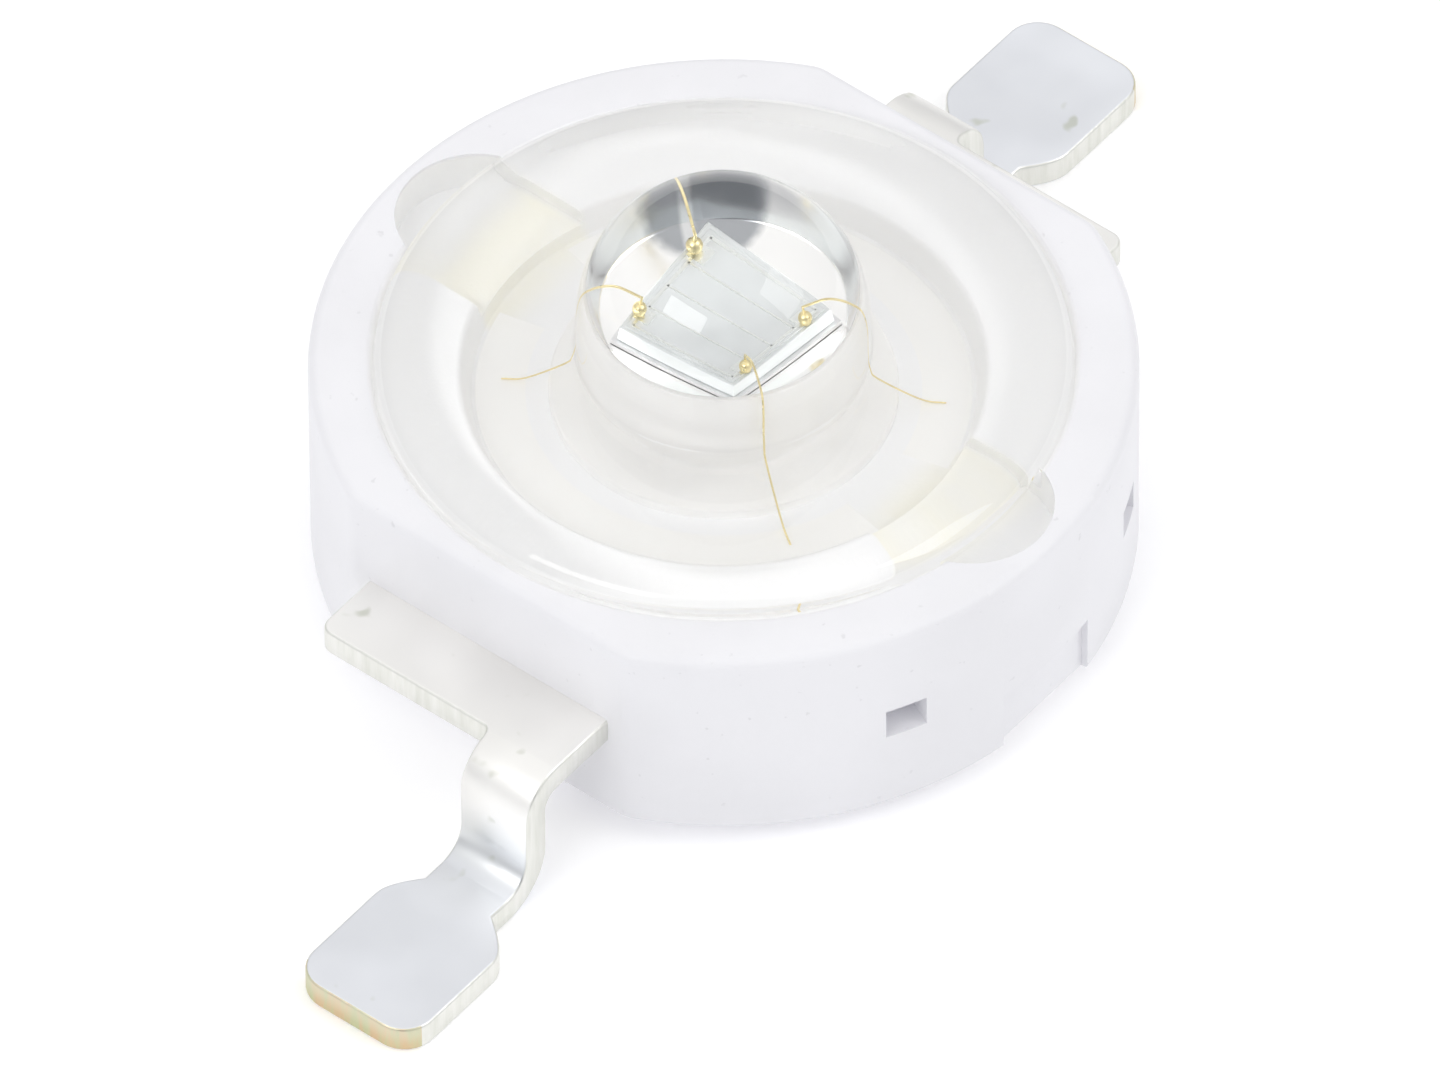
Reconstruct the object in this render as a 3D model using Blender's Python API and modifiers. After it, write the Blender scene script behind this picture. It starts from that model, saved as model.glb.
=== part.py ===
"""A high-power light-emitting diode in a round moulded housing 8 mm across.

The seating plane is z = 0: the slug's underside and both solder feet lie on it. The axis of the lens is the
Z axis, and the leads leave the housing along X. The two leads are the same stamping, turned by half a turn.
"""

import math

import bmesh
import bpy
from mathutils import Matrix, Vector

MM = 0.001

# Clearances
FIT_GAP = 0.020 * MM  # moulded plastic against metal, lens against its seat, gel against its bowl
BOND_GAP = 0.005 * MM  # under the die, under its solder and round the wires
OVERCUT = 0.50 * MM  # how far a cutter runs past the face it opens
MERGE_DISTANCE = 0.0001 * MM  # vertices nearer than this are one

# Housing
BODY_RADIUS = 4.00 * MM
FLAT_DEPTH = 0.37 * MM  # how far the flat across each lead lies inside the circle
BODY_STANDOFF = 0.29 * MM
BODY_HEIGHT = 2.31 * MM
RIM_WIDTH = 0.62 * MM
RIM_ROUND = 0.11 * MM
BASE_ROUND = 0.04 * MM
LENS_SEAT_DEPTH = 0.54 * MM
BOWL_DEPTH = 0.51 * MM
BOWL_DRAFT = 0.10 * MM
FILL_NOTCH_RADIUS = 0.80 * MM
FILL_NOTCH_WALL = 0.16 * MM
FILL_NOTCH_DEPTH = 0.80 * MM
POCKET_ANGLE = 25.5  # from the Y axis to each tie bar's pocket
POCKET_SIDE_MARGIN = 0.04 * MM
POCKET_TOP_MARGIN = 0.03 * MM
POCKET_DEPTH = 0.28 * MM
GATE_WIDTH = 1.30 * MM
GATE_HEIGHT = 0.70 * MM
GATE_DEPTH = 0.13 * MM

# Leads
LEAD_THICKNESS = 0.30 * MM
TAB_WIDTH = 2.94 * MM
TAB_REACH = 0.77 * MM
TAB_CORNER = 0.14 * MM
NECK_WIDTH = 0.83 * MM
NECK_BEND_RADIUS = 0.17 * MM  # inside the bend from the tab down to the neck
NECK_FILLET = 0.08 * MM
FOOT_BEND_RADIUS = 0.30 * MM  # inside the bend from the neck out to the foot
FOOT_LENGTH = 1.97 * MM
FOOT_WIDTH = 1.465 * MM
FOOT_OFFSET = 1.12 * MM
FOOT_CORNER = 0.34 * MM
SHOULDER_START = 0.24 * MM
SHOULDER_LENGTH = 0.46 * MM
LAND_GAP = 0.20 * MM  # between the slug's pedestal and the curved land
LAND_SHOWN = 0.55 * MM  # how much of the land's width lies bare in the bowl
LAND_WIDTH = 0.90 * MM
LAND_HALF_ANGLE = 78.0
TIE_BAR_WIDTH = 0.34 * MM
STAMPED_EDGE = 0.025 * MM

# Chip and its bonds
DIE_SIDE = 1.00 * MM
DIE_THICKNESS = 0.12 * MM
SOLDER_THICKNESS = 0.025 * MM
SOLDER_MARGIN = 0.035 * MM
WIRE_RADIUS = 0.018 * MM
WIRE_ANGLE = 56.0  # from the X axis to the upright plane in which each wire lies
WIRE_LOOP = 0.16 * MM  # how far the loop rises over the cup's rim
WIRE_LEAN = 0.80  # how much of that height is left where the wire crosses the rim
BALL_RADIUS = 0.050 * MM
BALL_SHAPE = (0.80, 1.00, 0.55)  # the ball's girth at its foot, middle and neck
BALL_REACH = 0.55 * MM  # from the axis to each ball

# Heat slug
SLUG_WALL = 1.20 * MM  # plastic between the slug's base and the outside of the housing
LEAD_FLOOR = 0.37 * MM  # plastic between the slug's base and the leads
SLUG_CHAMFER = 0.10 * MM
SLUG_GROOVE_DEPTH = 0.12 * MM
SLUG_GROOVE_WIDTH = 0.20 * MM
PEDESTAL_RISE = 0.20 * MM  # how far the pedestal stands over the leads
PEDESTAL_LEDGE = 0.62 * MM  # the flat of the pedestal, round the foot of the post
CUP_MARGIN = 0.03 * MM  # floor left round the corners of the solder
CUP_FLARE = 0.23 * MM
CUP_RIM = 0.06 * MM
CUP_DEPTH = 0.26 * MM

# Lens
FLANGE_EDGE_HEIGHT = 0.52 * MM
FLANGE_SHOULDER = 0.38 * MM
FLANGE_CREST_RISE = 0.26 * MM
DISH_DEPTH = 0.07 * MM
DOME_RADIUS = 1.42 * MM
DOME_COLLAR = 0.38 * MM
DOME_FOOT_FILLET = 0.07 * MM
HOLLOW_INSET = 0.05 * MM
HOLLOW_HEIGHT = 0.40 * MM
THROAT_WALL = 0.12 * MM  # silicone round the post, in the dome's collar
HEADROOM = 0.60 * MM  # from the dome's centre up to the top of the hollow

# Facets
BODY_STEPS = 72
TURNED_STEPS = 48
GEL_STEPS = 36
POST_STEPS = 96
NOTCH_STEPS = 16
DOME_STEPS = 12
BEND_STEPS = 6
HOLLOW_STEPS = 4
ARC_STEPS = 5
FILLET_STEPS = 3

# Radii that follow
BODY_FLAT = BODY_RADIUS - FLAT_DEPTH
LENS_SEAT_RADIUS = BODY_RADIUS - RIM_WIDTH
LENS_RADIUS = LENS_SEAT_RADIUS - FIT_GAP
FLANGE_CREST_RADIUS = LENS_RADIUS - FLANGE_SHOULDER
SOLDER_SIDE = DIE_SIDE + 2 * SOLDER_MARGIN
CUP_FLOOR_RADIUS = SOLDER_SIDE / math.sqrt(2) + CUP_MARGIN
CUP_MOUTH_RADIUS = CUP_FLOOR_RADIUS + CUP_FLARE
POST_RADIUS = CUP_MOUTH_RADIUS + CUP_RIM
PEDESTAL_RADIUS = POST_RADIUS + PEDESTAL_LEDGE
SLUG_BASE_RADIUS = BODY_RADIUS - SLUG_WALL
LAND_INNER_RADIUS = PEDESTAL_RADIUS + LAND_GAP
LAND_OUTER_RADIUS = LAND_INNER_RADIUS + LAND_WIDTH
STITCH_RADIUS = LAND_INNER_RADIUS + LAND_SHOWN / 2
BOWL_FLOOR_RADIUS = LAND_INNER_RADIUS + LAND_SHOWN
BOWL_MOUTH_RADIUS = BOWL_FLOOR_RADIUS + BOWL_DRAFT
HOLLOW_RADIUS = BOWL_MOUTH_RADIUS - HOLLOW_INSET
THROAT_RADIUS = DOME_RADIUS - THROAT_WALL
NOTCH_CENTRE = BODY_RADIUS - FILL_NOTCH_WALL - FILL_NOTCH_RADIUS

# Levels that follow
BODY_TOP = BODY_STANDOFF + BODY_HEIGHT
SEAT_LEVEL = BODY_TOP - LENS_SEAT_DEPTH
TAB_TOP = SEAT_LEVEL - BOWL_DEPTH
TAB_MIDDLE = TAB_TOP - LEAD_THICKNESS / 2
TAB_UNDERSIDE = TAB_TOP - LEAD_THICKNESS
SLUG_BASE_TOP = TAB_UNDERSIDE - LEAD_FLOOR
GROOVE_MIDDLE = (BODY_STANDOFF + SLUG_BASE_TOP) / 2
PEDESTAL_TOP = TAB_TOP + PEDESTAL_RISE
NOTCH_FLOOR = BODY_TOP - FILL_NOTCH_DEPTH
LENS_BOTTOM = SEAT_LEVEL + FIT_GAP
FLANGE_EDGE = LENS_BOTTOM + FLANGE_EDGE_HEIGHT
DISH_LEVEL = FLANGE_EDGE + FLANGE_CREST_RISE - DISH_DEPTH
DOME_CENTRE = DISH_LEVEL + DOME_COLLAR
DIE_TOP = DOME_CENTRE  # so that the light leaves the dome square to its skin
DIE_LEVEL = DIE_TOP - DIE_THICKNESS
SOLDER_LEVEL = DIE_LEVEL - BOND_GAP - SOLDER_THICKNESS
CUP_FLOOR = SOLDER_LEVEL - BOND_GAP
POST_TOP = CUP_FLOOR + CUP_DEPTH

# Stations along a lead's flat blank, measured at mid thickness
TAB_END = BODY_FLAT + TAB_REACH
NECK_TURN = NECK_BEND_RADIUS + LEAD_THICKNESS / 2
FOOT_TURN = FOOT_BEND_RADIUS + LEAD_THICKNESS / 2
NECK_START = TAB_END + NECK_TURN * math.pi / 2
NECK_END = NECK_START + TAB_MIDDLE - NECK_TURN - FOOT_TURN - LEAD_THICKNESS / 2
FOOT_START = NECK_END + FOOT_TURN * math.pi / 2
FOOT_END = FOOT_START + FOOT_LENGTH
NECK_OUTER_EDGE = TAB_WIDTH / 2
NECK_INNER_EDGE = NECK_OUTER_EDGE - NECK_WIDTH


def clear_scene():
    """Removes every object, so that the script can be run again."""
    for obj in list(bpy.data.objects):
        bpy.data.objects.remove(obj, do_unlink=True)


def new_collection(name, helpers=False):
    """A collection in the scene, left out of renders when it only holds helpers."""
    collection = bpy.data.collections.new(name)
    bpy.context.scene.collection.children.link(collection)
    collection.hide_render = helpers
    return collection


def material(name, colour, roughness, metallic=0.0, transmission=0.0, ior=1.45):
    """A Principled material."""
    made = bpy.data.materials.new(name)
    made.use_nodes = True
    made.diffuse_color = (*colour, 1.0)
    shader = made.node_tree.nodes["Principled BSDF"]
    shader.inputs["Base Color"].default_value = (*colour, 1.0)
    shader.inputs["Roughness"].default_value = roughness
    shader.inputs["Metallic"].default_value = metallic
    shader.inputs["Transmission Weight"].default_value = transmission
    shader.inputs["IOR"].default_value = ior
    return made


def add_object(name, mesh, collection, surface=None):
    """An object for a mesh. Without a surface it is a helper, drawn as wire and left out of renders."""
    obj = bpy.data.objects.new(name, mesh)
    collection.objects.link(obj)
    if surface is None:
        obj.hide_render = True
        obj.display_type = "WIRE"
    else:
        mesh.materials.append(surface)
    return obj


def shade(obj, angle=40.0):
    """Smooth shading that keeps the edges sharper than the angle."""
    obj.data.shade_smooth()
    obj.data.set_sharp_from_angle(angle=math.radians(angle))


def polar(radius, angle):
    """The point at a radius and an angle in degrees."""
    return Vector((radius * math.cos(math.radians(angle)), radius * math.sin(math.radians(angle))))


def arc(centre, radius, start, end, steps=ARC_STEPS):
    """Points on an arc round centre, from the start angle to the end angle, in degrees."""
    angles = [start + (end - start) * i / steps for i in range(steps + 1)]
    return [tuple(Vector(centre) + polar(radius, angle)) for angle in angles]


def turned(name, profile, collection, surface=None, steps=TURNED_STEPS):
    """A solid turned about Z from (radius, height) points that run from the axis back to the axis."""
    mesh = bpy.data.meshes.new(name)
    points = [(radius, 0.0, height) for radius, height in profile]
    mesh.from_pydata(points, [(i, i + 1) for i in range(len(points) - 1)], [])
    obj = add_object(name, mesh, collection, surface)
    screw = obj.modifiers.new("Turn", "SCREW")
    screw.axis = "Z"
    screw.steps = steps
    screw.render_steps = steps
    screw.use_merge_vertices = True
    screw.merge_threshold = 10 * MERGE_DISTANCE
    screw.use_smooth_shade = True
    return obj


def poly_curve(name, points, closed):
    """A curve of straight runs through (x, y, z) points."""
    curve = bpy.data.curves.new(name, "CURVE")
    curve.dimensions = "3D"
    spline = curve.splines.new("POLY")
    spline.points.add(len(points) - 1)
    for target, point in zip(spline.points, points):
        target.co = (*point, 1.0)
    spline.use_cyclic_u = closed
    return curve


def curve_mesh(curve, collection):
    """The closed mesh that a curve makes. The curve itself is removed."""
    guide = bpy.data.objects.new(curve.name, curve)
    collection.objects.link(guide)
    graph = bpy.context.evaluated_depsgraph_get()
    mesh = bpy.data.meshes.new_from_object(guide.evaluated_get(graph))
    mesh.name = curve.name
    bpy.data.objects.remove(guide)
    bpy.data.curves.remove(curve)
    work = bmesh.new()
    work.from_mesh(mesh)
    bmesh.ops.remove_doubles(work, verts=work.verts, dist=MERGE_DISTANCE)
    bmesh.ops.dissolve_limit(work, angle_limit=math.radians(0.1), verts=work.verts, edges=work.edges)
    bmesh.ops.recalc_face_normals(work, faces=work.faces)
    work.to_mesh(mesh)
    work.free()
    return mesh


def plate(name, outline, low, high, collection, surface=None):
    """A mesh object extruded from a flat outline of (x, y) points, between two levels."""
    curve = poly_curve(name, [(x, y, 0.0) for x, y in outline], closed=True)
    curve.dimensions = "2D"
    curve.fill_mode = "BOTH"
    curve.extrude = (high - low) / 2
    mesh = curve_mesh(curve, collection)
    mesh.transform(Matrix.Translation((0.0, 0.0, (low + high) / 2)))
    return add_object(name, mesh, collection, surface)


def block(name, size, centre, collection, surface=None, turn=0.0):
    """A box of the given size, turned about Z by an angle in degrees."""
    mesh = bpy.data.meshes.new(name)
    work = bmesh.new()
    bmesh.ops.create_cube(work, size=1.0)
    bmesh.ops.scale(work, vec=Vector(size), verts=work.verts)
    work.to_mesh(mesh)
    work.free()
    obj = add_object(name, mesh, collection, surface)
    obj.location = centre
    obj.rotation_euler.z = math.radians(turn)
    return obj


def post(name, radius, low, high, collection):
    """An upright cylinder on the axis, between two levels."""
    mesh = bpy.data.meshes.new(name)
    work = bmesh.new()
    bmesh.ops.create_cone(
        work, cap_ends=True, segments=POST_STEPS, radius1=radius, radius2=radius, depth=high - low
    )
    work.to_mesh(mesh)
    work.free()
    obj = add_object(name, mesh, collection)
    obj.location.z = (low + high) / 2
    return obj


def boolean(obj, other, operation="DIFFERENCE"):
    """Cuts or joins obj with another mesh object."""
    modifier = obj.modifiers.new(other.name, "BOOLEAN")
    modifier.operation = operation
    modifier.solver = "EXACT"
    modifier.object = other


def bevel(obj, width, segments, by_weight=False):
    """Rounds the weighted edges, or those that turn by more than 50 degrees."""
    modifier = obj.modifiers.new("Round", "BEVEL")
    modifier.width = width
    modifier.segments = segments
    modifier.limit_method = "WEIGHT" if by_weight else "ANGLE"
    modifier.angle_limit = math.radians(50.0)


def body_outline():
    """The housing from above: a circle with a flat across each lead."""
    corner = math.degrees(math.acos(BODY_FLAT / BODY_RADIUS))
    near = arc((0.0, 0.0), BODY_RADIUS, corner, 180.0 - corner, BODY_STEPS // 2)
    far = arc((0.0, 0.0), BODY_RADIUS, 180.0 + corner, 360.0 - corner, BODY_STEPS // 2)
    return near + far


def weight_rims(obj):
    """Gives the housing's top edge the full rounding, and its bottom edge a smaller share of it."""
    mesh = obj.data
    weights = mesh.attributes.new("bevel_weight_edge", "FLOAT", "EDGE")
    for edge in mesh.edges:
        heights = [mesh.vertices[i].co.z for i in edge.vertices]
        if min(heights) > BODY_TOP - BASE_ROUND:
            weights.data[edge.index].value = 1.0
        elif max(heights) < BODY_STANDOFF + BASE_ROUND:
            weights.data[edge.index].value = BASE_ROUND / RIM_ROUND


def slug_side(grow):
    """The slug's outer side, from the pedestal's rim down past the groove that locks it in the housing."""
    base = SLUG_BASE_RADIUS + grow
    half_groove = SLUG_GROOVE_WIDTH / 2
    return [
        (PEDESTAL_RADIUS + grow, PEDESTAL_TOP + grow),
        (PEDESTAL_RADIUS + grow, SLUG_BASE_TOP + grow),
        (base, SLUG_BASE_TOP + grow),
        (base, GROOVE_MIDDLE + half_groove + grow),
        (base - SLUG_GROOVE_DEPTH, GROOVE_MIDDLE),
        (base, GROOVE_MIDDLE - half_groove - grow),
    ]


def slug_profile():
    """The slug from the middle of its cup, down the post and the pedestal to its underside."""
    post = [
        (0.0, CUP_FLOOR),
        (CUP_FLOOR_RADIUS, CUP_FLOOR),
        (CUP_MOUTH_RADIUS, POST_TOP),
        (POST_RADIUS, POST_TOP),
        (POST_RADIUS, PEDESTAL_TOP),
    ]
    base = [(SLUG_BASE_RADIUS, SLUG_CHAMFER), (SLUG_BASE_RADIUS - SLUG_CHAMFER, 0.0), (0.0, 0.0)]
    return post + slug_side(0.0) + base


def slug_room_profile():
    """The room that the slug takes in the housing, out through the underside."""
    top = [(0.0, PEDESTAL_TOP + FIT_GAP)]
    return top + slug_side(FIT_GAP) + [(SLUG_BASE_RADIUS + FIT_GAP, -OVERCUT), (0.0, -OVERCUT)]


def bowl_profile():
    """What is taken out of the housing from above: the lens seat and the bowl under it."""
    return [
        (0.0, BODY_TOP + OVERCUT),
        (LENS_SEAT_RADIUS, BODY_TOP + OVERCUT),
        (LENS_SEAT_RADIUS, SEAT_LEVEL),
        (BOWL_MOUTH_RADIUS, SEAT_LEVEL),
        (BOWL_FLOOR_RADIUS, TAB_TOP),
        (0.0, TAB_TOP),
    ]


def hollow_points(gap):
    """The hollow in the lens, from its mouth up its throat to the axis. The gel in it is smaller by a gap."""
    throat = THROAT_RADIUS - gap
    mouth = LENS_BOTTOM - gap
    points = []
    for i in range(HOLLOW_STEPS + 1):
        along, up = polar(1.0, 90.0 * i / HOLLOW_STEPS)
        points.append((throat + (HOLLOW_RADIUS - THROAT_RADIUS) * along, mouth + HOLLOW_HEIGHT * up))
    for i in range(HOLLOW_STEPS + 1):
        along, up = polar(1.0, 90.0 * i / HOLLOW_STEPS)
        points.append((throat * along, DOME_CENTRE + (HEADROOM - gap) * up))
    points[-1] = (0.0, DOME_CENTRE + HEADROOM - gap)
    return points


def lens_profile():
    """The lens from the top of its dome, over the dished flange and back along its hollow underside."""
    dome = [(0.0, DOME_CENTRE + DOME_RADIUS)]
    dome += arc((0.0, DOME_CENTRE), DOME_RADIUS, 90.0, 0.0, DOME_STEPS)[1:]
    foot = DOME_RADIUS + DOME_FOOT_FILLET
    fillet = arc((foot, DISH_LEVEL + DOME_FOOT_FILLET), DOME_FOOT_FILLET, 180.0, 270.0, FILLET_STEPS)
    dish = []
    for i in range(1, FILLET_STEPS + 1):
        share = i / FILLET_STEPS
        dish.append((foot + (FLANGE_CREST_RADIUS - foot) * share, DISH_LEVEL + DISH_DEPTH * share**2))
    shoulder = []
    for i in range(1, ARC_STEPS + 1):
        up, along = polar(1.0, 90.0 * i / ARC_STEPS)
        shoulder.append((FLANGE_CREST_RADIUS + FLANGE_SHOULDER * along, FLANGE_EDGE + FLANGE_CREST_RISE * up))
    return dome + fillet + dish + shoulder + [(LENS_RADIUS, LENS_BOTTOM)] + hollow_points(0.0)


def gel_profile():
    """The clear gel between the lens and the bowl, round the post and down into the cup."""
    gap = FIT_GAP
    slope = BOWL_DRAFT / BOWL_DEPTH
    return hollow_points(gap)[::-1] + [
        (BOWL_MOUTH_RADIUS - gap, LENS_BOTTOM - gap),
        (BOWL_FLOOR_RADIUS - gap + slope * gap, TAB_TOP + gap),
        (PEDESTAL_RADIUS + gap, TAB_TOP + gap),
        (PEDESTAL_RADIUS + gap, PEDESTAL_TOP + gap),
        (POST_RADIUS + gap, PEDESTAL_TOP + gap),
        (POST_RADIUS + gap, POST_TOP + gap),
        (CUP_MOUTH_RADIUS, POST_TOP + gap),
        (CUP_FLOOR_RADIUS - gap / 2, CUP_FLOOR + gap),
        (0.0, CUP_FLOOR + gap),
    ]


def land_outline(grow=0.0):
    """The part of a lead inside the housing, pointing along +X.

    It runs from the tab's root on its +Y side, out along a tie bar and round the curved land to its tip, back
    along the land's inner edge, and the same way in mirror image to the tab's root on its -Y side.
    """
    outer = LAND_OUTER_RADIUS + grow
    inner = LAND_INNER_RADIUS - grow
    root = math.degrees(math.asin((TAB_WIDTH / 2 + grow) / outer))
    tip = LAND_HALF_ANGLE + math.degrees(grow / outer)
    bar_angle = 90.0 - POCKET_ANGLE
    half_bar = TIE_BAR_WIDTH / 2 + grow
    half_spread = math.degrees(math.asin(half_bar / outer))
    bar_end = polar(BODY_RADIUS - POCKET_DEPTH + grow, bar_angle)
    sideways = polar(half_bar, bar_angle + 90.0)
    upper = arc((0.0, 0.0), outer, root, bar_angle - half_spread)
    upper += [tuple(bar_end - sideways), tuple(bar_end + sideways)]
    upper += arc((0.0, 0.0), outer, bar_angle + half_spread, tip, 1)
    upper += arc((0.0, 0.0), inner, tip, 0.0, 2 * ARC_STEPS)
    return upper + [(x, -y) for x, y in reversed(upper[:-1])]


def shoulder_points(neck_edge, foot_edge):
    """The curve by which the foot widens from an edge of the neck, going outwards."""
    start = FOOT_START + SHOULDER_START
    points = []
    for i in range(FILLET_STEPS + 1):
        share = i / FILLET_STEPS
        widening = (foot_edge - neck_edge) * math.sin(share * math.pi / 2)
        points.append((start + SHOULDER_LENGTH * share, neck_edge + widening))
    return points


def foot_outline():
    """The part of a lead outside the housing, as cut from flat sheet, from the tab's -Y corner to +Y."""
    low = FOOT_OFFSET - FOOT_WIDTH / 2
    high = FOOT_OFFSET + FOOT_WIDTH / 2
    half_tab = TAB_WIDTH / 2
    corner = FOOT_CORNER
    tab = arc((TAB_END - TAB_CORNER, TAB_CORNER - half_tab), TAB_CORNER, -90.0, 0.0, FILLET_STEPS)
    fillet = arc(
        (TAB_END + NECK_FILLET, NECK_INNER_EDGE - NECK_FILLET), NECK_FILLET, 180.0, 90.0, FILLET_STEPS
    )
    end = arc((FOOT_END - corner, low + corner), corner, -90.0, 0.0)
    end += arc((FOOT_END - corner, high - corner), corner, 0.0, 90.0)
    inner = shoulder_points(NECK_INNER_EDGE, low)
    outer = shoulder_points(NECK_OUTER_EDGE, high)
    return tab + fillet + inner + end + outer[::-1]


def fold(point):
    """Where a point of the flat blank goes when the neck is bent down and the foot is bent out."""
    station, side, height = point
    off = height - TAB_MIDDLE
    if station <= TAB_END:
        return Vector((station, side, height))
    if station <= NECK_START:
        turn = (station - TAB_END) / NECK_TURN
        reach = NECK_TURN + off
        level = TAB_MIDDLE - NECK_TURN + reach * math.cos(turn)
        return Vector((TAB_END + reach * math.sin(turn), side, level))
    if station <= NECK_END:
        return Vector((TAB_END + NECK_TURN + off, side, TAB_MIDDLE - NECK_TURN - (station - NECK_START)))
    centre = Vector((TAB_END + NECK_TURN + FOOT_TURN, side, LEAD_THICKNESS / 2 + FOOT_TURN))
    if station <= FOOT_START:
        turn = (station - NECK_END) / FOOT_TURN
        reach = FOOT_TURN - off
        return centre - Vector((reach * math.cos(turn), 0.0, reach * math.sin(turn)))
    return centre + Vector((station - FOOT_START, 0.0, off - FOOT_TURN))


def make_lead(name, collection, surface, turn):
    """A lead stamped flat and folded twice, then turned about Z to its own side of the housing."""
    obj = plate(name, land_outline() + foot_outline(), TAB_UNDERSIDE, TAB_TOP, collection, surface)
    stations = []
    for start, end in ((TAB_END, NECK_START), (NECK_END, FOOT_START)):
        stations += [start + (end - start) * i / BEND_STEPS for i in range(BEND_STEPS + 1)]
    work = bmesh.new()
    work.from_mesh(obj.data)
    for station in stations:
        bmesh.ops.bisect_plane(
            work,
            geom=list(work.verts) + list(work.edges) + list(work.faces),
            dist=MERGE_DISTANCE,
            plane_co=(station, 0.0, 0.0),
            plane_no=(1.0, 0.0, 0.0),
        )
    for vertex in work.verts:
        vertex.co = fold(vertex.co)
    bmesh.ops.rotate(work, verts=work.verts, matrix=Matrix.Rotation(math.radians(turn), 3, "Z"))
    bmesh.ops.recalc_face_normals(work, faces=work.faces)
    work.to_mesh(obj.data)
    work.free()
    bevel(obj, STAMPED_EDGE, 1)
    shade(obj)
    return obj


def make_lead_slot(name, collection, turn):
    """The room that a lead takes inside the housing, out through the flat."""
    half_tab = TAB_WIDTH / 2 + FIT_GAP
    mouth = BODY_FLAT + OVERCUT
    outline = land_outline(FIT_GAP) + [(mouth, -half_tab), (mouth, half_tab)]
    obj = plate(name, outline, TAB_UNDERSIDE - FIT_GAP, TAB_TOP + FIT_GAP, collection)
    obj.rotation_euler.z = math.radians(turn)
    return obj


def cut_pockets(housing, cutters):
    """Opens a small pocket in the wall at the end of each tie bar."""
    length = POCKET_DEPTH + OVERCUT
    size = (length, TIE_BAR_WIDTH + 2 * POCKET_SIDE_MARGIN, LEAD_THICKNESS + 2 * POCKET_TOP_MARGIN)
    for side in (-1, 1):
        for hand in (-1, 1):
            angle = side * 90.0 + hand * POCKET_ANGLE
            centre = polar(BODY_RADIUS - POCKET_DEPTH + length / 2, angle).to_3d()
            centre.z = TAB_MIDDLE
            boolean(housing, block(f"cut_pocket_{side}_{hand}", size, centre, cutters, turn=angle))


def fill_channel(name, side, gap, low, high, collection):
    """The channel through which the gel is filled in: round in the rim, and open to the bowl."""
    radius = FILL_NOTCH_RADIUS - gap
    outline = arc((0.0, NOTCH_CENTRE), radius, 0.0, 180.0, NOTCH_STEPS)
    outline += [(-radius, LAND_INNER_RADIUS), (radius, LAND_INNER_RADIUS)]
    channel = plate(name, outline, low, high, collection)
    channel.rotation_euler.z = math.radians(90.0 - side * 90.0)
    return channel


def make_housing(parts, cutters, surface):
    """The moulded housing, with its bowl, lead slots, fill notches, tie-bar pockets and gate."""
    housing = plate("housing", body_outline(), BODY_STANDOFF, BODY_TOP, parts, surface)
    weight_rims(housing)
    bevel(housing, RIM_ROUND, 3, by_weight=True)
    boolean(housing, turned("cut_bowl", bowl_profile(), cutters))
    boolean(housing, turned("cut_slug", slug_room_profile(), cutters))
    boolean(housing, make_lead_slot("cut_cathode_lead", cutters, 0.0))
    boolean(housing, make_lead_slot("cut_anode_lead", cutters, 180.0))
    for side in (-1, 1):
        top = BODY_TOP + OVERCUT
        boolean(housing, fill_channel(f"cut_notch_{side}", side, 0.0, NOTCH_FLOOR, top, cutters))
    cut_pockets(housing, cutters)
    gate_size = (GATE_WIDTH, GATE_DEPTH + OVERCUT, GATE_HEIGHT + OVERCUT)
    gate_y = GATE_DEPTH - BODY_RADIUS - gate_size[1] / 2
    gate_z = BODY_STANDOFF + GATE_HEIGHT - gate_size[2] / 2
    boolean(housing, block("cut_gate", gate_size, (0.0, gate_y, gate_z), cutters))
    shade(housing)
    return housing


def wire_line():
    """The line of a bond wire in its upright plane, as (radius, height) points from its ball to its stitch.

    It rises over the cup's rim, drops through the throat beside the post, and runs out to the land.
    """
    throat = (POST_RADIUS + THROAT_RADIUS) / 2
    stitch = TAB_TOP + BOND_GAP + WIRE_RADIUS
    ball_foot = DIE_TOP + BOND_GAP
    line = [(BALL_REACH, ball_foot + i * BALL_RADIUS) for i in range(len(BALL_SHAPE))]
    line.append((BALL_REACH + WIRE_RADIUS, ball_foot + len(BALL_SHAPE) * BALL_RADIUS))
    line.append(((BALL_REACH + CUP_MOUTH_RADIUS) / 2, POST_TOP + WIRE_LOOP))
    line.append((CUP_MOUTH_RADIUS, POST_TOP + WIRE_LOOP * WIRE_LEAN))
    line.append((throat - WIRE_RADIUS, POST_TOP))
    line.append((throat, DISH_LEVEL))
    line.append((PEDESTAL_RADIUS - PEDESTAL_LEDGE / 2, (DISH_LEVEL + PEDESTAL_TOP) / 2))
    line.append((LAND_INNER_RADIUS, TAB_TOP + PEDESTAL_RISE / 2))
    line.append((STITCH_RADIUS, stitch))
    return line


def wire_route(side, hand):
    """The loop of one bond wire, in its own quarter."""
    towards = polar(1.0, WIRE_ANGLE)
    return [Vector((side * radius * towards.x, hand * radius * towards.y, z)) for radius, z in wire_line()]


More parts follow.
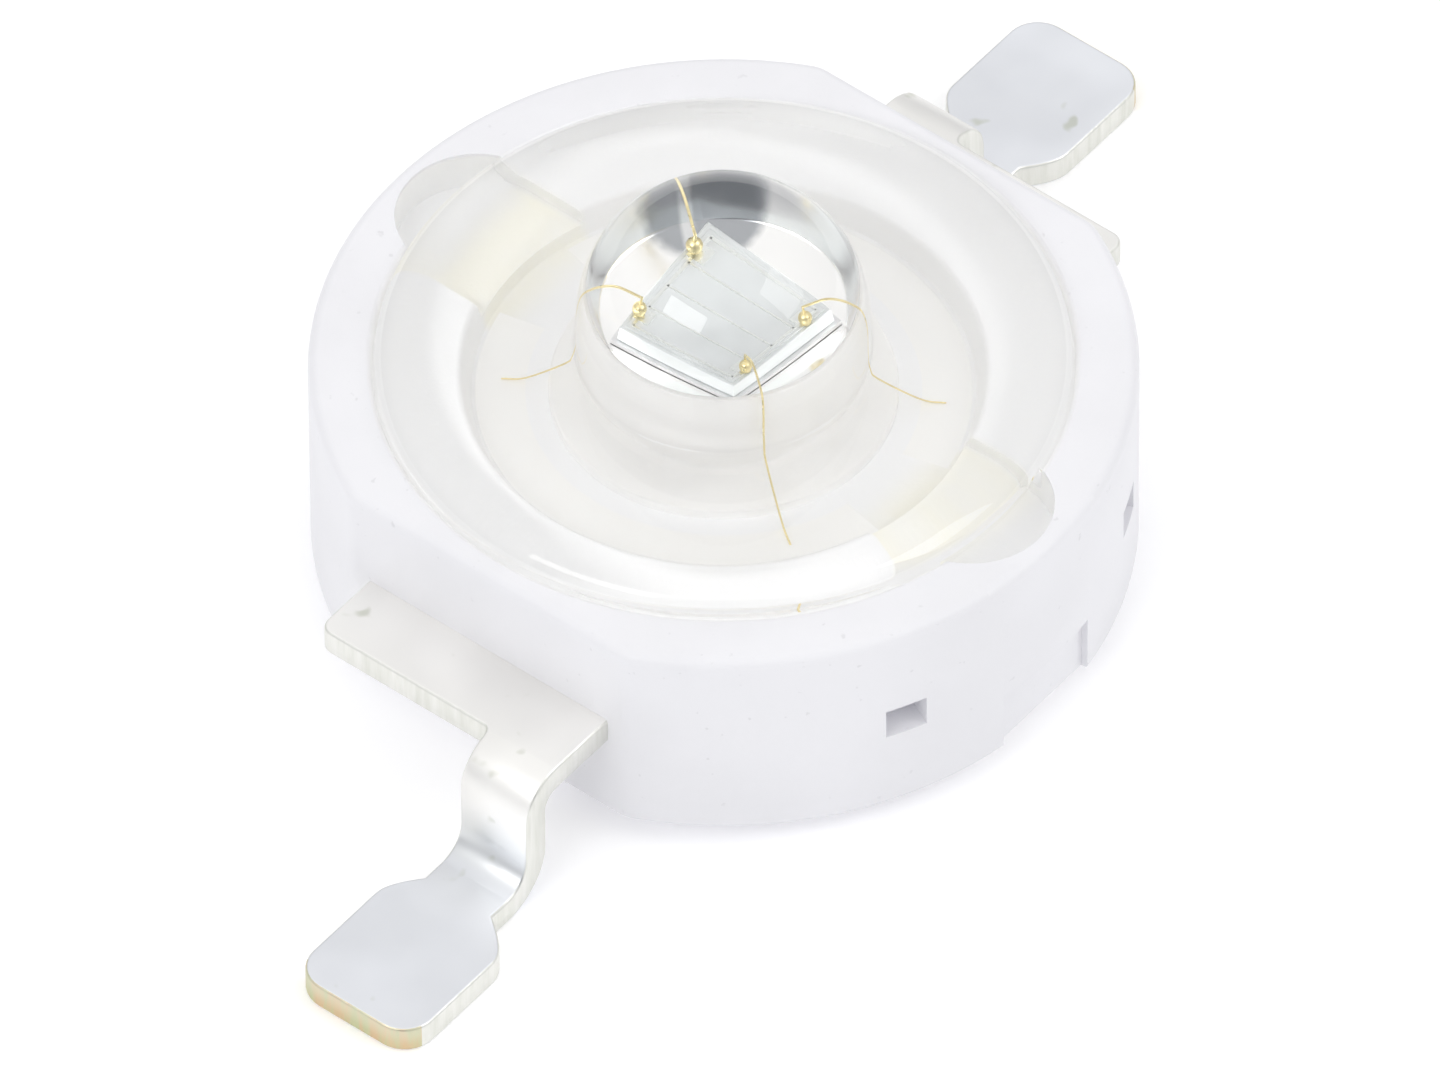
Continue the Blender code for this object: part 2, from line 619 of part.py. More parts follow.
def make_wire(name, collection, surface, side, hand, grow=0.0):
    """A gold wire with a ball at the chip's end. The room it takes in the gel is larger by grow all round."""
    points = wire_route(side, hand)
    points[0].z -= grow
    radii = [BALL_RADIUS * share for share in BALL_SHAPE]
    radii += [WIRE_RADIUS] * (len(points) - len(radii))
    curve = poly_curve(name, points, closed=False)
    curve.bevel_depth = WIRE_RADIUS
    curve.bevel_resolution = 2
    curve.use_fill_caps = True
    for target, radius in zip(curve.splines[0].points, radii):
        target.radius = (radius + grow) / WIRE_RADIUS
    obj = add_object(name, curve_mesh(curve, collection), collection, surface)
    shade(obj, 60.0)
    return obj


def make_gel(parts, cutters, surface):
    """The gel in the bowl, with the two necks through which it was filled and the room for the chip."""
    gel = turned("encapsulant", gel_profile(), parts, surface, steps=GEL_STEPS)
    flange_room = post("cut_flange", LENS_SEAT_RADIUS, LENS_BOTTOM - 2 * FIT_GAP, BODY_TOP + OVERCUT, cutters)
    for side in (-1, 1):
        low = NOTCH_FLOOR + FIT_GAP
        neck = fill_channel(f"neck_{side}", side, FIT_GAP, low, BODY_TOP - FIT_GAP, cutters)
        boolean(neck, flange_room)
        boolean(gel, neck, "UNION")
    room_side = SOLDER_SIDE + 2 * BOND_GAP
    room_top = DIE_TOP + BOND_GAP
    room_low = CUP_FLOOR - OVERCUT
    size = (room_side, room_side, room_top - room_low)
    boolean(gel, block("cut_chip", size, (0.0, 0.0, (room_top + room_low) / 2), cutters))
    return gel


def make_chip(parts, chip, solder):
    """The chip on its layer of solder, on the floor of the cup."""
    solder_size = (SOLDER_SIDE, SOLDER_SIDE, SOLDER_THICKNESS)
    block("die_solder", solder_size, (0.0, 0.0, SOLDER_LEVEL + SOLDER_THICKNESS / 2), parts, solder)
    die_size = (DIE_SIDE, DIE_SIDE, DIE_THICKNESS)
    block("led_die", die_size, (0.0, 0.0, DIE_LEVEL + DIE_THICKNESS / 2), parts, chip)


def main():
    clear_scene()
    parts = new_collection("power_led_emitter")
    cutters = new_collection("cutters", helpers=True)
    white = material("white_moulding", (0.86, 0.86, 0.88), 0.45)
    silver = material("silver_plate", (0.80, 0.79, 0.76), 0.28, metallic=1.0)
    gold = material("gold_wire", (0.95, 0.70, 0.25), 0.22, metallic=1.0)
    clear = material("clear_lens", (0.98, 0.98, 0.97), 0.03, transmission=1.0, ior=1.50)
    soft = material("clear_gel", (0.98, 0.97, 0.92), 0.05, transmission=1.0, ior=1.45)
    chip = material("chip", (0.32, 0.36, 0.36), 0.18)
    solder = material("solder", (0.55, 0.55, 0.56), 0.45, metallic=1.0)

    make_housing(parts, cutters, white)
    shade(turned("heat_slug", slug_profile(), parts, silver))
    make_lead("cathode_lead", parts, silver, 0.0)
    make_lead("anode_lead", parts, silver, 180.0)
    make_chip(parts, chip, solder)
    gel = make_gel(parts, cutters, soft)
    number = 1
    for side in (-1, 1):
        for hand in (-1, 1):
            make_wire(f"bond_wire_{number}", parts, gold, side, hand)
            boolean(gel, make_wire(f"cut_wire_{number}", cutters, None, side, hand, grow=BOND_GAP))
            number += 1
    shade(turned("lens", lens_profile(), parts, clear), 30.0)


main()
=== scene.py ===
"""Builds the visible pieces of a power light-emitting diode round its packed solids, and their stage."""

import math

import bmesh
import bpy
from bpy.props import FloatProperty, FloatVectorProperty, PointerProperty
from mathutils import Matrix, Vector


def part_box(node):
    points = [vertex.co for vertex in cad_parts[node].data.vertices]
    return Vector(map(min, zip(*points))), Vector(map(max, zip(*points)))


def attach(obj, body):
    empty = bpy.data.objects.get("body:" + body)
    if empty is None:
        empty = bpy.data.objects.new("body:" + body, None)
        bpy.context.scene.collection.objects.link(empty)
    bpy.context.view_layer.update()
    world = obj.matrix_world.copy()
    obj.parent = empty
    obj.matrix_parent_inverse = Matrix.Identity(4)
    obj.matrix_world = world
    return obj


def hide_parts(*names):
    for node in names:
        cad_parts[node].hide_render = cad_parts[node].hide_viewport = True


bl_info = {
    "name": "Power LED emitter",
    "version": (1, 0, 0),
    "blender": (4, 5, 0),
    "location": "View3D > Sidebar > Power LED",
    "description": "Builds the pieces of a power light-emitting diode, and the stage for its picture",
    "category": "Object",
}

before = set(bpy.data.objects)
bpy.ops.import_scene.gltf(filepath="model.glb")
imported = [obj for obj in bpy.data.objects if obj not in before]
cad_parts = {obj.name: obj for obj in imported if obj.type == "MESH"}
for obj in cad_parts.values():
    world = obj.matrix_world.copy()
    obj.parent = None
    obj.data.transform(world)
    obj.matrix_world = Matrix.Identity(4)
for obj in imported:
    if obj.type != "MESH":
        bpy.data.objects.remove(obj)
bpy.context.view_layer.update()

BODY = "root"
HOUSING_LOW, HOUSING_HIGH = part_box("housing")
SLUG_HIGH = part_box("heat_slug")[1]
DIE_LOW, DIE_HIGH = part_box("led_die")
SOLDER_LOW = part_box("die_solder")[0]
LENS_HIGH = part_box("lens")[1]

MM = 0.001
MERGE_DISTANCE = 0.0001 * MM  # vertices nearer than this are one
OVERCUT = 0.50 * MM  # how far a cutter runs past the face that it opens
EASE = 0.07 * MM  # rounding of the edges inside the housing
SEAM = 0.001 * MM  # between the plastic and the metal in it
FIT = 0.02 * MM  # between pieces that are put together
BOND = 0.006 * MM  # how far the clear body reaches into what it wets
WETTING = 0.045 * MM  # how far it sinks round the rounded edges of the lands
LAP = 0.9  # share of a lead's rounded edge that the plastic laps
LAND_INNER = 1.897 * MM  # inner radius of the curved lands, where the fill channels end too
POCKET_DEPTH = 0.28 * MM  # from the round side to the end of each tie bar
TURNED_STEPS = 144
GLASSY_STEPS = 192

# The camera's axes and aim, as fitted to the photograph
CAMERA_RIGHT = Vector((0.6235, -0.7818, -0.0051))
CAMERA_UP = Vector((0.5787, 0.4572, 0.6754))
CAMERA_BACK = Vector((-0.5257, -0.4240, 0.7374))
CAMERA_AIM = Vector((0.0, 0.0, 2.0 * MM)) - 0.025 * MM * CAMERA_RIGHT - 1.3329 * MM * CAMERA_UP

# Each softbox: its turn from the camera, its width and its height in degrees, and its share of the brightness
SOFTBOXES = {"left softbox": (-42.0, 34.0, 14.0, 1.0), "right softbox": (74.0, 24.0, 30.0, 0.5)}
SOFTBOX_DISTANCE = 0.25


def described(name, rest, default):
    """What every setting has: its name, a description that reads on from the name, and its default."""
    return {"name": name, "description": f"{name} {rest}", "default": default}


def length(name, rest, default):
    """A length that the user can change, with its default in millimetres."""
    unit = {"subtype": "DISTANCE", "unit": "LENGTH", "precision": 6}
    return FloatProperty(**described(name, rest, default * MM), min=0.0, **unit)


def amount(name, rest, default):
    """A plain number that the user can change."""
    return FloatProperty(**described(name, rest, default), min=0.0)


def angle(name, rest, default):
    """An angle that the user can change, with its default in degrees."""
    return FloatProperty(**described(name, rest, math.radians(default)), subtype="ANGLE", unit="ROTATION")


def colour(name, rest, default):
    """A colour that the user can change."""
    return FloatVectorProperty(**described(name, rest, default), size=3, min=0.0, max=1.0, subtype="COLOR")


class HousingSettings(bpy.types.PropertyGroup):
    """Sizes and colours of the moulded housing."""

    radius: length("Radius", "of the round sides", HOUSING_HIGH.y / MM)
    flat: length("Flat", "across each lead, from the axis", HOUSING_HIGH.x / MM)
    top: length("Top", "of the rim over the board", HOUSING_HIGH.z / MM)
    underside: length("Underside", "of the body over the board", HOUSING_LOW.z / MM)
    rim_width: length("Rim width", "round the lens", 0.62)
    rim_round: length("Rim rounding", "at its outer edge", 0.11)
    base_round: length("Base rounding", "at its lower edge", 0.04)
    corner_round: length("Corner rounding", "between a flat and the round side", 0.40)
    seat_depth: length("Seat depth", "under the rim", 0.54)
    bowl_depth: length("Bowl depth", "under the lens seat", 0.51)
    bowl_radius: length("Bowl radius", "at its floor", 2.447)
    bowl_draft: length("Bowl draft", "up to its mouth", 0.10)
    notch_radius: length("Notch radius", "of each fill notch", 0.80)
    notch_wall: length("Notch wall", "outside each fill notch", 0.16)
    notch_depth: length("Notch depth", "under the rim", 0.80)
    pocket_angle: angle("Pocket angle", "of each tie bar from the Y axis", 25.5)
    gate_width: length("Gate width", "along the side", 1.30)
    gate_height: length("Gate height", "over the underside", 0.70)
    gate_depth: length("Gate depth", "into the side", 0.13)
    plastic: colour("Plastic", "of the housing", (0.80, 0.797, 0.822))
    # A lighter copy of the plastic: painted light inside the bowl and in the fill notches
    bowl: colour("Bowl", "walls and floor", (0.935, 0.937, 0.945))
    stain: colour("Stain", "of the gel in the fill channels", (0.955, 0.94, 0.85))


class LeadSettings(bpy.types.PropertyGroup):
    """Sizes and colours of the two leads."""

    thickness: length("Thickness", "of the sheet", 0.30)
    tab_width: length("Tab width", "outside the housing", 2.94)
    tab_reach: length("Tab reach", "out of the flat", 0.77)
    tab_corner: length("Tab corner", "rounding, at the free corner", 0.14)
    neck_width: length("Neck width", "between the two bends", 0.83)
    neck_bend: length("Neck bend", "from the tab, inner radius", 0.17)
    neck_fillet: length("Neck fillet", "beside the tab's end", 0.08)
    foot_bend: length("Foot bend", "from the neck, inner radius", 0.30)
    foot_length: length("Foot length", "from its bend to its end", 1.97)
    foot_width: length("Foot width", "where it is widest", 1.465)
    foot_offset: length("Foot offset", "from the middle of the tab", 1.12)
    foot_corner: length("Foot corner", "rounding", 0.34)
    shoulder_start: length("Shoulder start", "of the foot after its bend", 0.24)
    shoulder_length: length("Shoulder length", "over which the foot widens", 0.46)
    land_inner: length("Land inner radius", "of its curve", LAND_INNER / MM)
    land_width: length("Land width", "across its curve", 0.90)
    land_angle: angle("Land angle", "to each side of the tab", 78.0)
    tie_bar_width: length("Tie bar width", "in its pocket", 0.34)
    edge_round: length("Edge rounding", "of the stamped sheet", 0.035)
    silver: colour("Silver", "plating on the tab and the neck", (0.90, 0.89, 0.865))
    # A darker, cooler copy of the silver for the foot: painted shade
    shaded_foot_silver: colour("Foot silver", "plating", (0.80, 0.815, 0.855))
    land_silver: colour("Land silver", "plating inside the housing", (0.955, 0.95, 0.935))
    # Olive for the painted reflections at the lower bend and in spots on the leads
    painted_reflection: colour("Tarnish", "in the plating", (0.50, 0.52, 0.42))
    sheared: colour("Sheared edge", "in its darkest streaks", (0.70, 0.71, 0.65))
    copper: colour("Copper", "of the bare cut end", (0.69, 0.52, 0.33))
    aged_copper: colour("Aged copper", "in the greener streaks of the cut end", (0.62, 0.63, 0.41))
    thin_plating: colour("Thin plating", "drawn over the cut end", (0.73, 0.72, 0.60))


class SlugSettings(bpy.types.PropertyGroup):
    """Sizes and colours of the heat slug."""

    base_radius: length("Base radius", "at its widest", SLUG_HIGH.x / MM)
    base_chamfer: length("Base chamfer", "at its lower edge", 0.10)
    shoulder: length("Shoulder", "of the base over the board", 0.88)
    groove_depth: length("Groove depth", "round the base", 0.12)
    groove_half: length("Groove half width", "round the base", 0.10)
    pedestal_radius: length("Pedestal radius", "in the bowl", 1.697)
    pedestal_top: length("Pedestal top", "over the board", 1.75)
    post_radius: length("Post radius", "round the cup", 1.077)
    post_top: length("Post top", "over the board", SLUG_HIGH.z / MM)
    cup_floor: length("Cup floor", "radius", 0.787)
    cup_mouth: length("Cup mouth", "radius", 1.017)
    cup_level: length("Cup level", "of its floor over the board", SOLDER_LOW.z / MM - 0.005)
    plating: colour("Plating", "of the slug", (0.96, 0.955, 0.945))
    # A dark patch in the cup beyond one corner of the chip: painted shadow
    painted_shadow: colour("Flux", "left in the cup beyond one corner of the chip", (0.39, 0.405, 0.425))
    painted_shadow_reach: length("Flux reach", "from the middle of its patch", 0.34)


class ChipSettings(bpy.types.PropertyGroup):
    """Sizes and colours of the chip and its bonds."""

    side: length("Side", "of the square chip", (DIE_HIGH.x - DIE_LOW.x) / MM)
    underside: length("Underside", "of the chip over the board", DIE_LOW.z / MM)
    top: length("Top", "of the chip over the board", DIE_HIGH.z / MM)
    skin: length("Skin", "of metal in the contact tracks", 0.004)
    track: length("Track", "width of the contacts", 0.022)
    pad: length("Pad", "width under each ball", 0.12)
    wire_radius: length("Wire radius", "of each bond wire", 0.010)
    wire_angle: angle("Wire angle", "of its upright plane from the X axis", 56.0)
    wire_loop: length("Wire loop", "over the cup's rim", 0.16)
    ball_radius: length("Ball radius", "at its widest", 0.050)
    ball_reach: length("Ball reach", "from the axis", 0.55)
    stitch_radius: length("Stitch radius", "from the axis to the end of each wire", 2.172)
    crystal: colour("Crystal", "of the chip", (0.65, 0.68, 0.685))
    contact: colour("Contact", "metal on the chip", (0.80, 0.82, 0.80))
    gold: colour("Gold", "of the wires", (0.98, 0.84, 0.48))


class OpticSettings(bpy.types.PropertyGroup):
    """Sizes and tint of the lens with the gel under it."""

    radius: length("Radius", "of the flange", LENS_HIGH.x / MM)
    dome_radius: length("Dome radius", "at its foot", 1.42)
    top: length("Top", "of the dome over the board", LENS_HIGH.z / MM)
    collar: length("Collar", "under the dome, which is straight", 0.38)
    foot_fillet: length("Foot fillet", "round the dome", 0.07)
    edge_height: length("Edge height", "of the flange", 0.52)
    shoulder: length("Shoulder", "of the flange, which is rounded", 0.38)
    crest: length("Crest", "of the flange over its edge", 0.26)
    dish: length("Dish", "of the flange under its crest", 0.07)
    tint: colour("Tint", "of the silicone", (0.998, 0.997, 0.992))
    index: amount("Index", "of refraction", 1.50)


class StageSettings(bpy.types.PropertyGroup):
    """The floor, the light and the camera."""

    floor_size: length("Floor size", "along each side", 600.0)
    floor: colour("Floor", "under the feet", (0.93, 0.93, 0.935))
    floor_glow: amount("Floor glow", "that comes up through it", 0.13)
    light: amount("Light", "from all round", 1.02)
    horizon: colour("Horizon", "in the surrounding light", (0.46, 0.465, 0.485))
    dark: colour("Dark gap", "behind the camera", (0.24, 0.25, 0.27))
    dark_height: angle("Dark height", "over the horizon", 20.0)
    dark_spread: angle("Dark spread", "from its middle", 26.0)
    box_height: angle("Softbox height", "over the horizon", 42.0)
    box_light: amount("Softbox light", "brightness, where plain white is 1", 4.0)
    distance: length("Distance", "from the object to the camera", 375.779)
    focal: amount("Focal length", "in millimetres", 975.9)


# Shapes


def polar(radius, degrees):
    """The point at a radius and an angle."""
    return Vector((radius * math.cos(math.radians(degrees)), radius * math.sin(math.radians(degrees))))


def arc(centre, radius, start, end, steps):
    """Points on an arc round centre, from the start angle to the end angle, in degrees."""
    return [Vector(centre) + polar(radius, start + (end - start) * i / steps) for i in range(steps + 1)]


def eased(points, steps=4):
    """A line of (x, y) points, with an arc at each point that has a radius as its third number."""
    line = []
    for i, point in enumerate(points):
        here = Vector(point[:2])
        if len(point) == 2:
            line.append(here)
            continue
        before = (Vector(points[i - 1][:2]) - here).normalized()
        after = (Vector(points[i + 1][:2]) - here).normalized()
        half = before.angle(after) / 2
        centre = here + (before + after).normalized() * point[2] / math.sin(half)
        first = here + before * point[2] / math.tan(half) - centre
        turn = first.angle_signed(here + after * point[2] / math.tan(half) - centre)
        line += [centre + Matrix.Rotation(-turn * j / steps, 2) @ first for j in range(steps + 1)]
    return line


def smooth_line(points, steps=6):
    """A smooth line through (x, y) points."""
    points = [Vector(point) for point in points]
    ends = [2 * points[0] - points[1]] + points + [2 * points[-1] - points[-2]]
    line = []
    for a, b, c, d in zip(ends, ends[1:], ends[2:], ends[3:]):
        for i in range(steps):
            t = i / steps
            bend = (2 * a - 5 * b + 4 * c - d) * t**2 + (3 * b - a - 3 * c + d) * t**3
            line.append(0.5 * (2 * b + (c - a) * t + bend))
    return line + [points[-1]]


def in_scene(name, data):
    """A new object in the scene."""
    made = bpy.data.objects.new(name, data)
    bpy.context.scene.collection.objects.link(made)
    return made


def shade(mesh, crease):
    """Shades a mesh smooth, except along the edges that turn by more than the crease angle."""
    mesh.shade_smooth()
    mesh.set_sharp_from_angle(angle=math.radians(crease))


def piece_of(name, work, finishes=(), crease=40.0):
    """The object for a finished bmesh, with its finishes in order."""
    mesh = bpy.data.meshes.new(name)
    work.to_mesh(mesh)
    work.free()
    for finish in finishes:
        mesh.materials.append(finish)
    shade(mesh, crease)
    return in_scene(name, mesh)


def cleaned(work):
    """Merges what coincides and turns every face outwards."""
    bmesh.ops.remove_doubles(work, verts=work.verts, dist=MERGE_DISTANCE)
    bmesh.ops.recalc_face_normals(work, faces=work.faces)
    return work


def lathe(profile, steps=TURNED_STEPS):
    """A solid turned about Z from (radius, height) points that run from axis to axis."""
    work = bmesh.new()
    points = [work.verts.new((point[0], 0.0, point[1])) for point in profile]
    edges = [work.edges.new(pair) for pair in zip(points, points[1:])]
    whole = {"axis": (0.0, 0.0, 1.0), "angle": 2 * math.pi, "use_merge": True}
    bmesh.ops.spin(work, geom=points + edges, steps=steps, **whole)
    return cleaned(work)


def stack(rings):
    """A solid through closed rings of as many points each, capped at both ends."""
    work = bmesh.new()
    loops = [[work.verts.new(point) for point in ring] for ring in rings]
    for low, high in zip(loops, loops[1:]):
        for i, corner in enumerate(low):
            following = (i + 1) % len(low)
            work.faces.new((corner, low[following], high[following], high[i]))
    work.faces.new(loops[0][::-1])
    work.faces.new(loops[-1])
    return cleaned(work)


def slab(outline, low, high):
    """A solid between two levels with a flat outline."""
    return stack([[(point[0], point[1], level) for point in outline] for level in (low, high)])


def turned_about(work, degrees):
    """Turns a bmesh about the Z axis."""
    bmesh.ops.rotate(work, verts=work.verts, matrix=Matrix.Rotation(math.radians(degrees), 3, "Z"))
    return work


def settled(made):
    """Gives an object the mesh that its modifiers make, and takes them off."""
    graph = bpy.context.evaluated_depsgraph_get()
    mesh = bpy.data.meshes.new_from_object(made.evaluated_get(graph), depsgraph=graph)
    old = made.data
    made.modifiers.clear()
    made.data = mesh
    mesh.name = made.name
    bpy.data.meshes.remove(old)
    return made


def carved(made, solids, operation="DIFFERENCE"):
    """Cuts solids out of an object, or joins them to it."""
    tools = [piece_of("tool", solid) for solid in solids]
    for tool in tools:
        cut = made.modifiers.new("Carve", "BOOLEAN")
        cut.operation = operation
        cut.solver = "EXACT"
        cut.object = tool
    settled(made)
    for tool in tools:
        mesh = tool.data
        bpy.data.objects.remove(tool)
        bpy.data.meshes.remove(mesh)
    return made


def rounded(made, width, segments, limit):
    """Rounds the edges that turn by more than the limit."""
    edge = made.modifiers.new("Round", "BEVEL")
    edge.width = width
    edge.segments = segments
    edge.limit_method = "ANGLE"
    edge.angle_limit = math.radians(limit)
    return settled(made)


def faired(made, crease=40.0):
    """Keeps the flat faces flat where they meet rounded edges."""
    shade(made.data, crease)
    weighted = made.modifiers.new("Fair", "WEIGHTED_NORMAL")
    weighted.keep_sharp = True
    weighted.weight = 80
    return made


def placed(made, slot, *nodes):
    """Puts a finished piece on the body in place of the solids that it stands for."""
    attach(made, BODY)
    if nodes:
        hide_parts(*nodes)
    return made


# Finishes


class Nodes:
    """Puts a node tree together a node at a time, from one kind of coordinates."""

    def __init__(self, tree, coordinates):
        self.tree = tree
        self.place = self.node("ShaderNodeTexCoord", {}, coordinates)

    def feed(self, node, socket, value):
        """Sets a constant, or links an output, on a node's socket."""
        target = node.inputs[socket]
        if isinstance(value, bpy.types.NodeSocket):
            self.tree.links.new(value, target)
        elif target.type == "RGBA":
            target.default_value = (*value, 1.0)
        else:
            target.default_value = value

    def node(self, kind, inputs, output, **fields):
        """The output of a new node, with its fields set and its inputs fed."""
        made = self.tree.nodes.new(kind)
        for name, value in fields.items():
            setattr(made, name, value)
        for socket, value in inputs.items():
            self.feed(made, socket, value)
        return made.outputs[output]

    def axis(self, name):
        """One of the coordinates."""
        return self.node("ShaderNodeSeparateXYZ", {"Vector": self.place}, name)

    def sum(self, kind, first, second=0.0):
        """What a Math node makes of one value or two."""
        return self.node("ShaderNodeMath", {0: first, 1: second}, "Value", operation=kind)

    def times(self, first, *others):
        """The product of all the values."""
        for other in others:
            first = self.sum("MULTIPLY", first, other)
        return first

    def out(self, x=0.0, y=0.0):
        """The distance, in plan, from the upright line at (x, y)."""
        across = self.sum("POWER", self.sum("SUBTRACT", self.axis("X"), x), 2.0)
        along = self.sum("POWER", self.sum("SUBTRACT", self.axis("Y"), y), 2.0)
        return self.sum("SQRT", self.sum("ADD", across, along))

    def over(self, value, low, high, to_low=0.0, to_high=1.0):
        """A soft step up as the value goes from low to high."""
        inputs = {"Value": value, "From Min": low, "From Max": high, "To Min": to_low, "To Max": to_high}
        return self.node("ShaderNodeMapRange", inputs, "Result", interpolation_type="SMOOTHSTEP")

    def under(self, value, low, high):
        """A soft step down as the value goes from low to high."""
        return self.over(value, low, high, 1.0, 0.0)

    def mix(self, factor, first, second):
        """The first colour where the factor is 0, and the second where it is 1."""
        return self.node("ShaderNodeMix", {"Factor": factor, 6: first, 7: second}, 2, data_type="RGBA")


class Finish(Nodes):
    """A Principled material, with its nodes in the object's own coordinates."""

    def __init__(self, name, base, metallic=0.0):
        self.material = bpy.data.materials.new(name)
        self.material.use_nodes = True
        self.material.diffuse_color = (*base, 1.0)
        super().__init__(self.material.node_tree, "Object")
        self.shader = self.tree.nodes["Principled BSDF"]
        self.set("Metallic", metallic)

    def set(self, socket, value):
        """Sets a constant, or links an output, on one of the shader's sockets."""
        self.feed(self.shader, socket, value)

    def done(self, base, roughness, normal):
        """The material, with its colour, roughness and relief."""
        self.set("Base Color", base)
        self.set("Roughness", roughness)
        self.set("Normal", normal)
        return self.material

    def stretched(self, x, y, z):
        """The coordinates, stretched along each axis."""
        return self.node("ShaderNodeMapping", {"Vector": self.place, "Scale": (x, y, z)}, "Vector")

    def grain(self, per_mm, detail=2.0, roughness=0.5, place=None):
        """Noise with about so many lumps to a millimetre."""
        inputs = {"Vector": place or self.place, "Scale": per_mm / MM, "Detail": detail, "Roughness": roughness}
        return self.node("ShaderNodeTexNoise", inputs, "Fac")

    def cloudy(self, base, per_mm, detail, first, second, low=0.35, high=0.65):
        """A colour with soft clouds, in two shares of its brightness."""
        cloud = self.over(self.grain(per_mm, detail), low, high)
        return self.mix(cloud, shaded(base, first), shaded(base, second))

    def rough(self, grain, low, high):
        """A roughness from low to high that follows a grain."""
        return self.over(grain, 0.3, 0.7, low, high)

    def relief(self, height, depth, under=None):
        """Raises the surface by the height times a depth in metres, over another relief if one is given."""
        inputs = {"Strength": 1.0, "Distance": depth, "Height": height}
        if under is not None:
            inputs["Normal"] = under
        return self.node("ShaderNodeBump", inputs, "Normal")


def shaded(base, share):
    """A colour made lighter or darker by a share."""
    return tuple(min(1.0, channel * share) for channel in base)


def moulding_finish(body):
    """White moulded plastic with a fine grain, stained by the gel in the fill channels, and lighter inside the
    bowl and the fill notches as painted light.
    """
    made = Finish("white moulding", body.plastic)
    plastic = made.cloudy(body.plastic, 0.5, 3.0, 0.975, 1.02)
    specks = made.over(made.grain(9.0), 0.70, 0.78)
    plastic = made.mix(specks, plastic, shaded(body.plastic, 0.90))
    across = made.sum("ABSOLUTE", made.axis("X"))
    along = made.sum("ABSOLUTE", made.axis("Y"))
    height = made.axis("Z")
    # Inside the bowl and in the fill notches the plastic takes the lighter bowl colour: painted light that makes
    # up for the shade under the lens
    wall = body.radius - body.rim_width
    inside = made.times(
        made.under(made.out(), wall, wall + EASE),
        made.over(height, body.underside, body.underside + EASE),
    )
    notch_end = body.radius - body.notch_wall
    notch = made.times(
        made.under(across, body.notch_radius, body.notch_radius + 0.02 * MM),
        made.under(along, notch_end, notch_end + 0.5 * body.notch_wall),
        made.under(height, body.top - 0.06 * MM, body.top - 0.01 * MM),
        made.over(height, 1.6 * MM, 1.7 * MM),
    )
    plastic = made.mix(made.sum("MAXIMUM", inside, notch), plastic, body.bowl)
    stained = made.times(
        made.under(across, 0.70 * MM, 0.86 * MM),
        made.over(along, 1.95 * MM, 2.45 * MM),
        made.under(height, body.top - 0.30 * MM, body.top - 0.10 * MM),
        made.under(along, 2.90 * MM, 3.40 * MM),
        made.over(made.grain(1.5, 3.0), 0.30, 0.60, 0.55, 0.95),
    )
    return made.done(
        made.mix(stained, plastic, body.stain),
        made.rough(made.grain(2.0, 3.0), 0.40, 0.52),
        made.relief(made.grain(1.1), 0.012 * MM, made.relief(made.grain(30.0, 3.0, 0.6), 0.0022 * MM)),
    )


def plating_finish(lead):
    """Satin silver plating: whitest inside the housing, warm on the tab, and darker and cooler on the foot as
    painted shade, with painted olive reflections at the lower bend and in spots.
    """
    made = Finish("silver plate", lead.silver)
    height = made.axis("Z")
    raised = made.over(height, 0.35 * MM, 1.10 * MM)
    inside = made.under(made.out(), 3.2 * MM, 3.6 * MM)
    tab = made.cloudy(lead.silver, 0.55, 2.0, 1.04, 0.92, 0.38, 0.62)
    # The foot takes a darker, cooler copy of the silver: painted shade
    foot = made.cloudy(lead.shaded_foot_silver, 0.55, 2.0, 1.04, 0.94, 0.38, 0.62)
    # An olive band at the lower bend and olive spots on the leads: painted reflections
    bend_reflection = made.times(made.over(height, 0.28 * MM, 0.36 * MM), made.under(height, 0.60 * MM, 1.00 * MM), 0.2)
    silver = made.mix(bend_reflection, made.mix(raised, foot, tab), lead.painted_reflection)
    reflection_spots = made.over(made.grain(2.6), 0.66, 0.76, 0.0, 0.6)
    silver = made.mix(reflection_spots, silver, lead.painted_reflection)
    milky = made.sum("MAXIMUM", inside, made.times(raised, 0.6))
    made.set("Metallic", made.over(milky, 0.0, 1.0, 1.0, 0.35))
    rolled = made.relief(made.grain(4.0, place=made.stretched(0.12, 1.0, 1.0)), 0.003 * MM)
    return made.done(
        made.mix(inside, silver, lead.land_silver),
        made.over(made.grain(2.0), 0.25, 0.75, 0.34, 0.46),
        made.relief(made.grain(1.3), 0.016 * MM, rolled),
    )


def sheared_finish(lead):
    """The stamped sides of the leads, marked by the shear."""
    made = Finish("sheared edge", lead.sheared, 1.0)
    streak = made.grain(12.0, 3.0, 0.6, made.stretched(1.0, 1.0, 0.10))
    base = made.mix(streak, shaded(lead.silver, 0.95), lead.sheared)
    return made.done(base, made.rough(streak, 0.30, 0.50), made.relief(streak, 0.006 * MM))


def copper_finish(lead):
    """The bare cut end of a foot, where the copper under the plating shows."""
    made = Finish("copper end", lead.copper, 1.0)
    streak = made.grain(9.0, 3.0, 0.6, made.stretched(1.0, 1.0, 0.15))
    cut = made.mix(made.over(streak, 0.35, 0.65), lead.copper, lead.aged_copper)
    upper = made.times(made.over(made.axis("Z"), 0.04 * MM, 0.26 * MM), 0.45)
    base = made.mix(upper, cut, lead.thin_plating)
    return made.done(base, made.rough(streak, 0.34, 0.55), made.relief(streak, 0.008 * MM))


